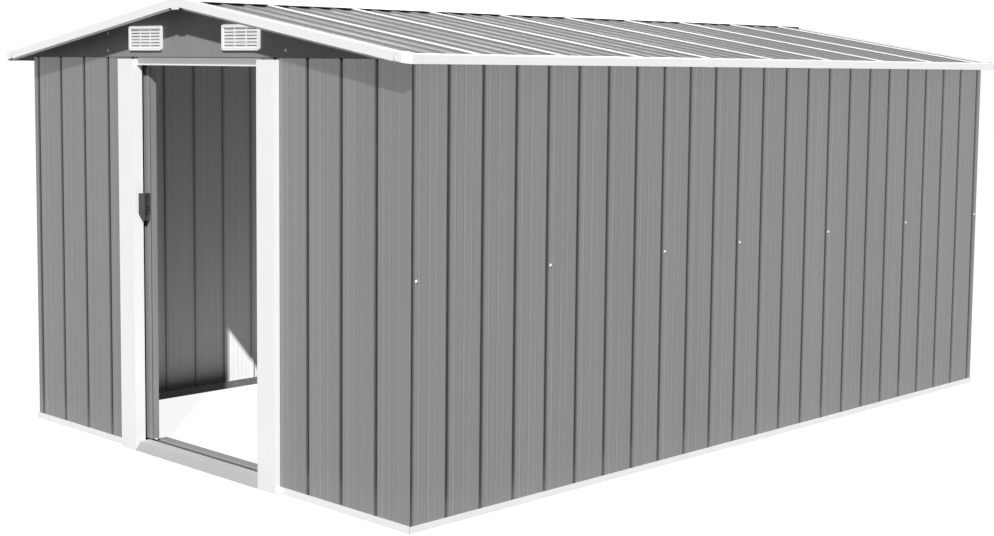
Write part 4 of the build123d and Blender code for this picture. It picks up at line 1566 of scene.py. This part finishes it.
@dataclass
class Handles:
    """Black moulded grips on the doors' leading edges, with a ribbed finger pocket."""

    finishes: Finishes
    slant: float = 0.014
    front_chamfer: float = 0.026
    rear_chamfer: float = 0.027
    rear_inset: float = 0.009
    pocket_wall: float = 0.0035
    pocket_depth: float = 0.006
    rib_count: int = 4
    rib_size: Point = (0.0056, 0.020, 0.0036)
    rib_sunk: float = 0.0024
    rib_back: float = 0.007
    rib_first: float = 0.030
    rib_pitch: float = 0.009
    hole_radius: float = 0.0026
    hole_depth: float = 0.010
    hole_sunk: float = 0.004
    hole_below: float = 0.019
    hole_places: tuple[float, float] = (0.002, 0.012)
    raised_foot: float = 0.016
    raised_top: float = 0.008

    def grip(self) -> bpy.types.Object:
        """Models the left door's grip.

        Returns:
            The grip.
        """
        low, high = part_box("left_door_handle")
        low.z += self.raised_foot
        high.z += self.raised_top
        centre = (low + high) / 2
        grip = Bench.box(tuple(centre), tuple(high - low))
        Bench.edit(grip, "VERT")
        Bench.corners(grip, lambda point: point.x > centre.x and point.y < centre.y)
        bpy.ops.transform.translate(value=(0, self.slant, 0))
        cuts = (
            (Vector((0, low.y, low.z + self.front_chamfer)), Vector((0, low.y + self.slant, low.z)), -1),
            (Vector((0, high.y, low.z + self.rear_chamfer)), Vector((0, high.y - self.rear_inset, low.z)), 1),
        )
        for start, end, way in cuts:
            run = end - start
            normal = Vector((0, -run.z, run.y)).normalized()
            if normal.y * way < 0:
                normal = -normal
            bpy.ops.mesh.select_all(action="SELECT")
            bpy.ops.mesh.bisect(plane_co=start, plane_no=normal, use_fill=True, clear_outer=True)
        Bench.faces(grip, lambda face: face.normal.x > 0.9)
        bpy.ops.mesh.inset(thickness=self.pocket_wall, depth=0.0)
        Bench.extrude(-self.pocket_depth, 0, 0)
        bpy.ops.transform.resize(value=(1.0, 0.9, 0.97))
        Bench.close()
        sharp = math.radians(25)
        Bench.apply(grip, "BEVEL", width=0.0016, segments=3, limit_method="ANGLE", angle_limit=sharp)
        ribs = []
        floor_x = high.x - self.pocket_depth
        pattern = Bench.box((floor_x + self.rib_sunk, centre.y + self.rib_back, 0), self.rib_size)
        Bench.edit(pattern)
        Bench.edges(pattern, lambda middle, way: middle.x > floor_x + 0.002)
        bpy.ops.mesh.bevel(offset=0.0010, segments=3)
        Bench.close()
        for number in range(self.rib_count):
            height = low.z + self.rib_first + self.rib_pitch * number
            ribs.append(Bench.copy(pattern, "rib", Matrix.Translation((0, 0, height))))
        Bench.remove(pattern)
        Bench.join(grip, ribs)
        for beside in self.hole_places:
            drill = Bench.disc(self.hole_radius, self.hole_depth, 16)
            spot = (floor_x - self.hole_sunk, centre.y + beside, high.z - self.hole_below)
            place = Matrix.Translation(spot)
            Bench.turn(drill, place @ Matrix.Rotation(math.radians(90), 4, "Y"))
            Bench.apply(grip, "BOOLEAN", object=drill, operation="DIFFERENCE", solver="EXACT")
            Bench.remove(drill)
        Bench.smooth(grip, 35)
        return grip

    def build(self) -> None:
        """Sets the grip on both doors."""
        grip = self.grip()
        other = Bench.mirrored(grip, "right_grip")
        Bench.fit(grip, "left_grip", Finish.BLACK_PLASTIC, self.finishes, Body.LEFT)
        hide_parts("left_door_handle")
        Bench.fit(other, "right_grip", Finish.BLACK_PLASTIC, self.finishes, Body.RIGHT)
        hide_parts("right_door_handle")
        LOG.info("handles: 2")


@dataclass
class Studio:
    """The floor, the light and the camera."""

    key_from: Point = (0.560, -0.571, 0.600)
    inner_from: Point = (0.481, -0.547, 0.685)
    key_strength: float = 4.5
    key_spread: float = 2.2
    clear_share: float = 0.65
    clear_sides: tuple[str, ...] = ("right_wall_panel", "lap_screw_right", "vent_front")
    clear_front: tuple[str, ...] = ("front_wall",)
    inner_wall: tuple[str, ...] = ("left_wall_panel", "side_rail_left")
    inner_share: float = 4.4
    inner_spread: float = 0.7
    roof_edges: tuple[str, ...] = ("roof_", "ridge_cap", "eave_", "corner_cap", "seam_cap", "rake_")
    fill: float = 0.16
    inside_light: float = 30.0
    inside_size: tuple[float, float] = (2.2, 3.5)
    inside_height: float = 0.05
    rear_light: float = 200.0
    rear_size: float = 4.0
    rear_place: Point = (-5.0, 5.0, 3.5)
    rear_aim: float = 0.8
    floor_size: float = 60.0
    floor_gap: float = 0.0005
    floor_white: float = 0.92
    floor_shade: float = 0.12
    floor_bounce: float = 0.15
    camera_place: Point = (5.05823, -5.40418, 1.55508)
    yaw: float = -0.77818
    pitch: float = 0.08862
    roll: float = 0.00959
    lens: float = 57.805
    shift: float = -0.06036

    def seen(self, graph: Graph) -> Socket:
        """One where a ray comes from the camera, a mirror or a glass, and nought elsewhere.

        Args:
            graph: the material's or the world's graph.

        Returns:
            The socket with the mask.
        """
        path = graph.add("ShaderNodeLightPath")
        straight = graph.math("MAXIMUM", path.outputs["Is Camera Ray"], path.outputs["Is Glossy Ray"])
        return graph.math("MAXIMUM", straight, path.outputs["Is Transmission Ray"])

    def build_world(self) -> None:
        """Sets a white backdrop and a plain fill light."""
        world = bpy.data.worlds.new("studio_world")
        bpy.context.scene.world = world
        world.use_nodes = True
        graph = Graph(world.node_tree)
        world.node_tree.nodes.clear()
        fill = graph.add("ShaderNodeBackground", {"Color": (1.0, 1.0, 1.0, 1.0), "Strength": self.fill})
        white = graph.add("ShaderNodeBackground", {"Color": (1.0, 1.0, 1.0, 1.0), "Strength": 1.0})
        shaders = {0: self.seen(graph), 1: fill.outputs[0], 2: white.outputs[0]}
        both = graph.add("ShaderNodeMixShader", shaders)
        graph.add("ShaderNodeOutputWorld", {"Surface": both.outputs[0]})

    def build_floor(self) -> None:
        """Lays a plain pale floor that keeps the shed's shadow."""
        Bench.clear()
        bpy.ops.mesh.primitive_plane_add(size=self.floor_size, location=(0, 0, -self.floor_gap))
        floor = bpy.context.object
        floor.name = "studio_floor"
        material = bpy.data.materials.new("studio_floor")
        material.use_nodes = True
        graph = Graph(material.node_tree)
        material.node_tree.nodes.clear()
        glow = graph.add("ShaderNodeEmission", {"Color": (1.0, 1.0, 1.0, 1.0), "Strength": self.floor_white})
        thin = graph.add("ShaderNodeBsdfDiffuse", {"Color": grey(self.floor_shade)})
        matt = graph.add("ShaderNodeBsdfDiffuse", {"Color": grey(self.floor_bounce)})
        shown = graph.add("ShaderNodeAddShader", {0: glow.outputs[0], 1: thin.outputs[0]})
        shaders = {0: self.seen(graph), 1: matt.outputs[0], 2: shown.outputs[0]}
        both = graph.add("ShaderNodeMixShader", shaders)
        graph.add("ShaderNodeOutputMaterial", {"Surface": both.outputs[0]})
        floor.data.materials.append(material)

    def add_key(
        self, name: str, share: float, lit: tuple[str, ...], state: str, clear: bool = False
    ) -> bpy.types.Object:
        """Adds one share of the key light.

        Args:
            name: the light's name.
            share: its share of the key's strength.
            lit: how the names of the pieces start that it lights alone, or leaves out.
            state: INCLUDE or EXCLUDE.
            clear: lets it through the roof's edges.

        Returns:
            The light.
        """
        bpy.ops.object.light_add(type="SUN", location=(4, -4, 5))
        key = bpy.context.object
        key.name = name
        key.data.energy = self.key_strength * share
        key.data.angle = math.radians(self.key_spread)
        key.rotation_euler = Vector(self.key_from).to_track_quat("Z", "Y").to_euler()
        key.light_linking.receiver_collection = self.linked(f"{name}_lit", lit, state)
        if clear:
            key.light_linking.blocker_collection = self.linked(f"{name}_passed", self.roof_edges, "EXCLUDE")
        return key

    def linked(self, name: str, starts: tuple[str, ...], state: str) -> bpy.types.Collection:
        """Gathers pieces for a light.

        Args:
            name: the collection's name.
            starts: how the pieces' names start.
            state: INCLUDE or EXCLUDE.

        Returns:
            The collection.
        """
        group = bpy.data.collections.new(name)
        for piece in bpy.context.scene.objects:
            if piece.type == "MESH" and piece.name.startswith(starts):
                group.objects.link(piece)
        for entry in group.collection_objects:
            entry.light_linking.link_state = state
        return group

    def build_lights(self) -> None:
        """Sets the key light's shares, the soft light inside and the one behind the shed."""
        Bench.clear()
        apart = self.clear_sides + self.clear_front + self.inner_wall
        self.add_key("key_light", 1.0, apart, "EXCLUDE")
        inner = self.add_key("inner_key", self.inner_share, self.inner_wall, "INCLUDE")
        inner.rotation_euler = Vector(self.inner_from).to_track_quat("Z", "Y").to_euler()
        inner.data.angle = math.radians(self.inner_spread)
        self.add_key("side_key", 1.0, self.clear_sides, "INCLUDE", clear=True)
        self.add_key("front_clear_key", self.clear_share, self.clear_front, "INCLUDE", clear=True)
        self.add_key("front_key", 1.0 - self.clear_share, self.clear_front, "INCLUDE")
        inside_place = (0, 0, self.inside_height)
        bpy.ops.object.light_add(type="AREA", location=inside_place, rotation=(math.pi, 0, 0))
        inside = bpy.context.object
        inside.name = "inside_light"
        inside.data.shape = "RECTANGLE"
        inside.data.size, inside.data.size_y = self.inside_size
        inside.data.energy = self.inside_light
        inside.visible_camera = False
        bpy.ops.object.light_add(type="AREA", location=self.rear_place)
        rear = bpy.context.object
        rear.name = "rear_light"
        rear.data.energy = self.rear_light
        rear.data.size = self.rear_size
        away = Vector(self.rear_place) - Vector((0, 0, self.rear_aim))
        rear.rotation_euler = away.to_track_quat("Z", "Y").to_euler()

    def build_camera(self) -> None:
        """Sets the camera at the photograph's viewing angle."""
        data = bpy.data.cameras.new("camera")
        camera = bpy.data.objects.new("camera", data)
        bpy.context.scene.collection.objects.link(camera)
        data.sensor_width = 36.0
        data.lens = self.lens
        data.shift_y = self.shift
        turn = (
            Matrix.Rotation(-self.yaw, 4, "Z")
            @ Matrix.Rotation(math.pi / 2 - self.pitch, 4, "X")
            @ Matrix.Rotation(self.roll, 4, "Z")
        )
        camera.matrix_world = Matrix.Translation(self.camera_place) @ turn
        bpy.context.scene.camera = camera

    def build(self) -> None:
        """Builds the whole studio."""
        self.build_world()
        self.build_floor()
        self.build_lights()
        self.build_camera()
        bpy.context.scene.view_settings.view_transform = "Standard"
        LOG.info("studio: floor, lights and a camera")


def main() -> None:
    """Builds the dressed shed, one sub-assembly after another."""
    logging.basicConfig(level=logging.INFO, format="%(name)s: %(message)s")
    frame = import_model()
    effects = Effects()
    effects.build()
    finishes = Finishes(effects)
    finishes.build()
    finishes.dress_nodes(frame)
    Vents(finishes).build()
    Screws(finishes).build()
    RoofFittings(finishes).build()
    CornerCaps(finishes).build()
    VergeLips(finishes).build()
    BaseRails(finishes).build()
    Threshold(finishes).build()
    Handles(finishes).build()
    Studio().build()


if __name__ == "__main__":
    main()
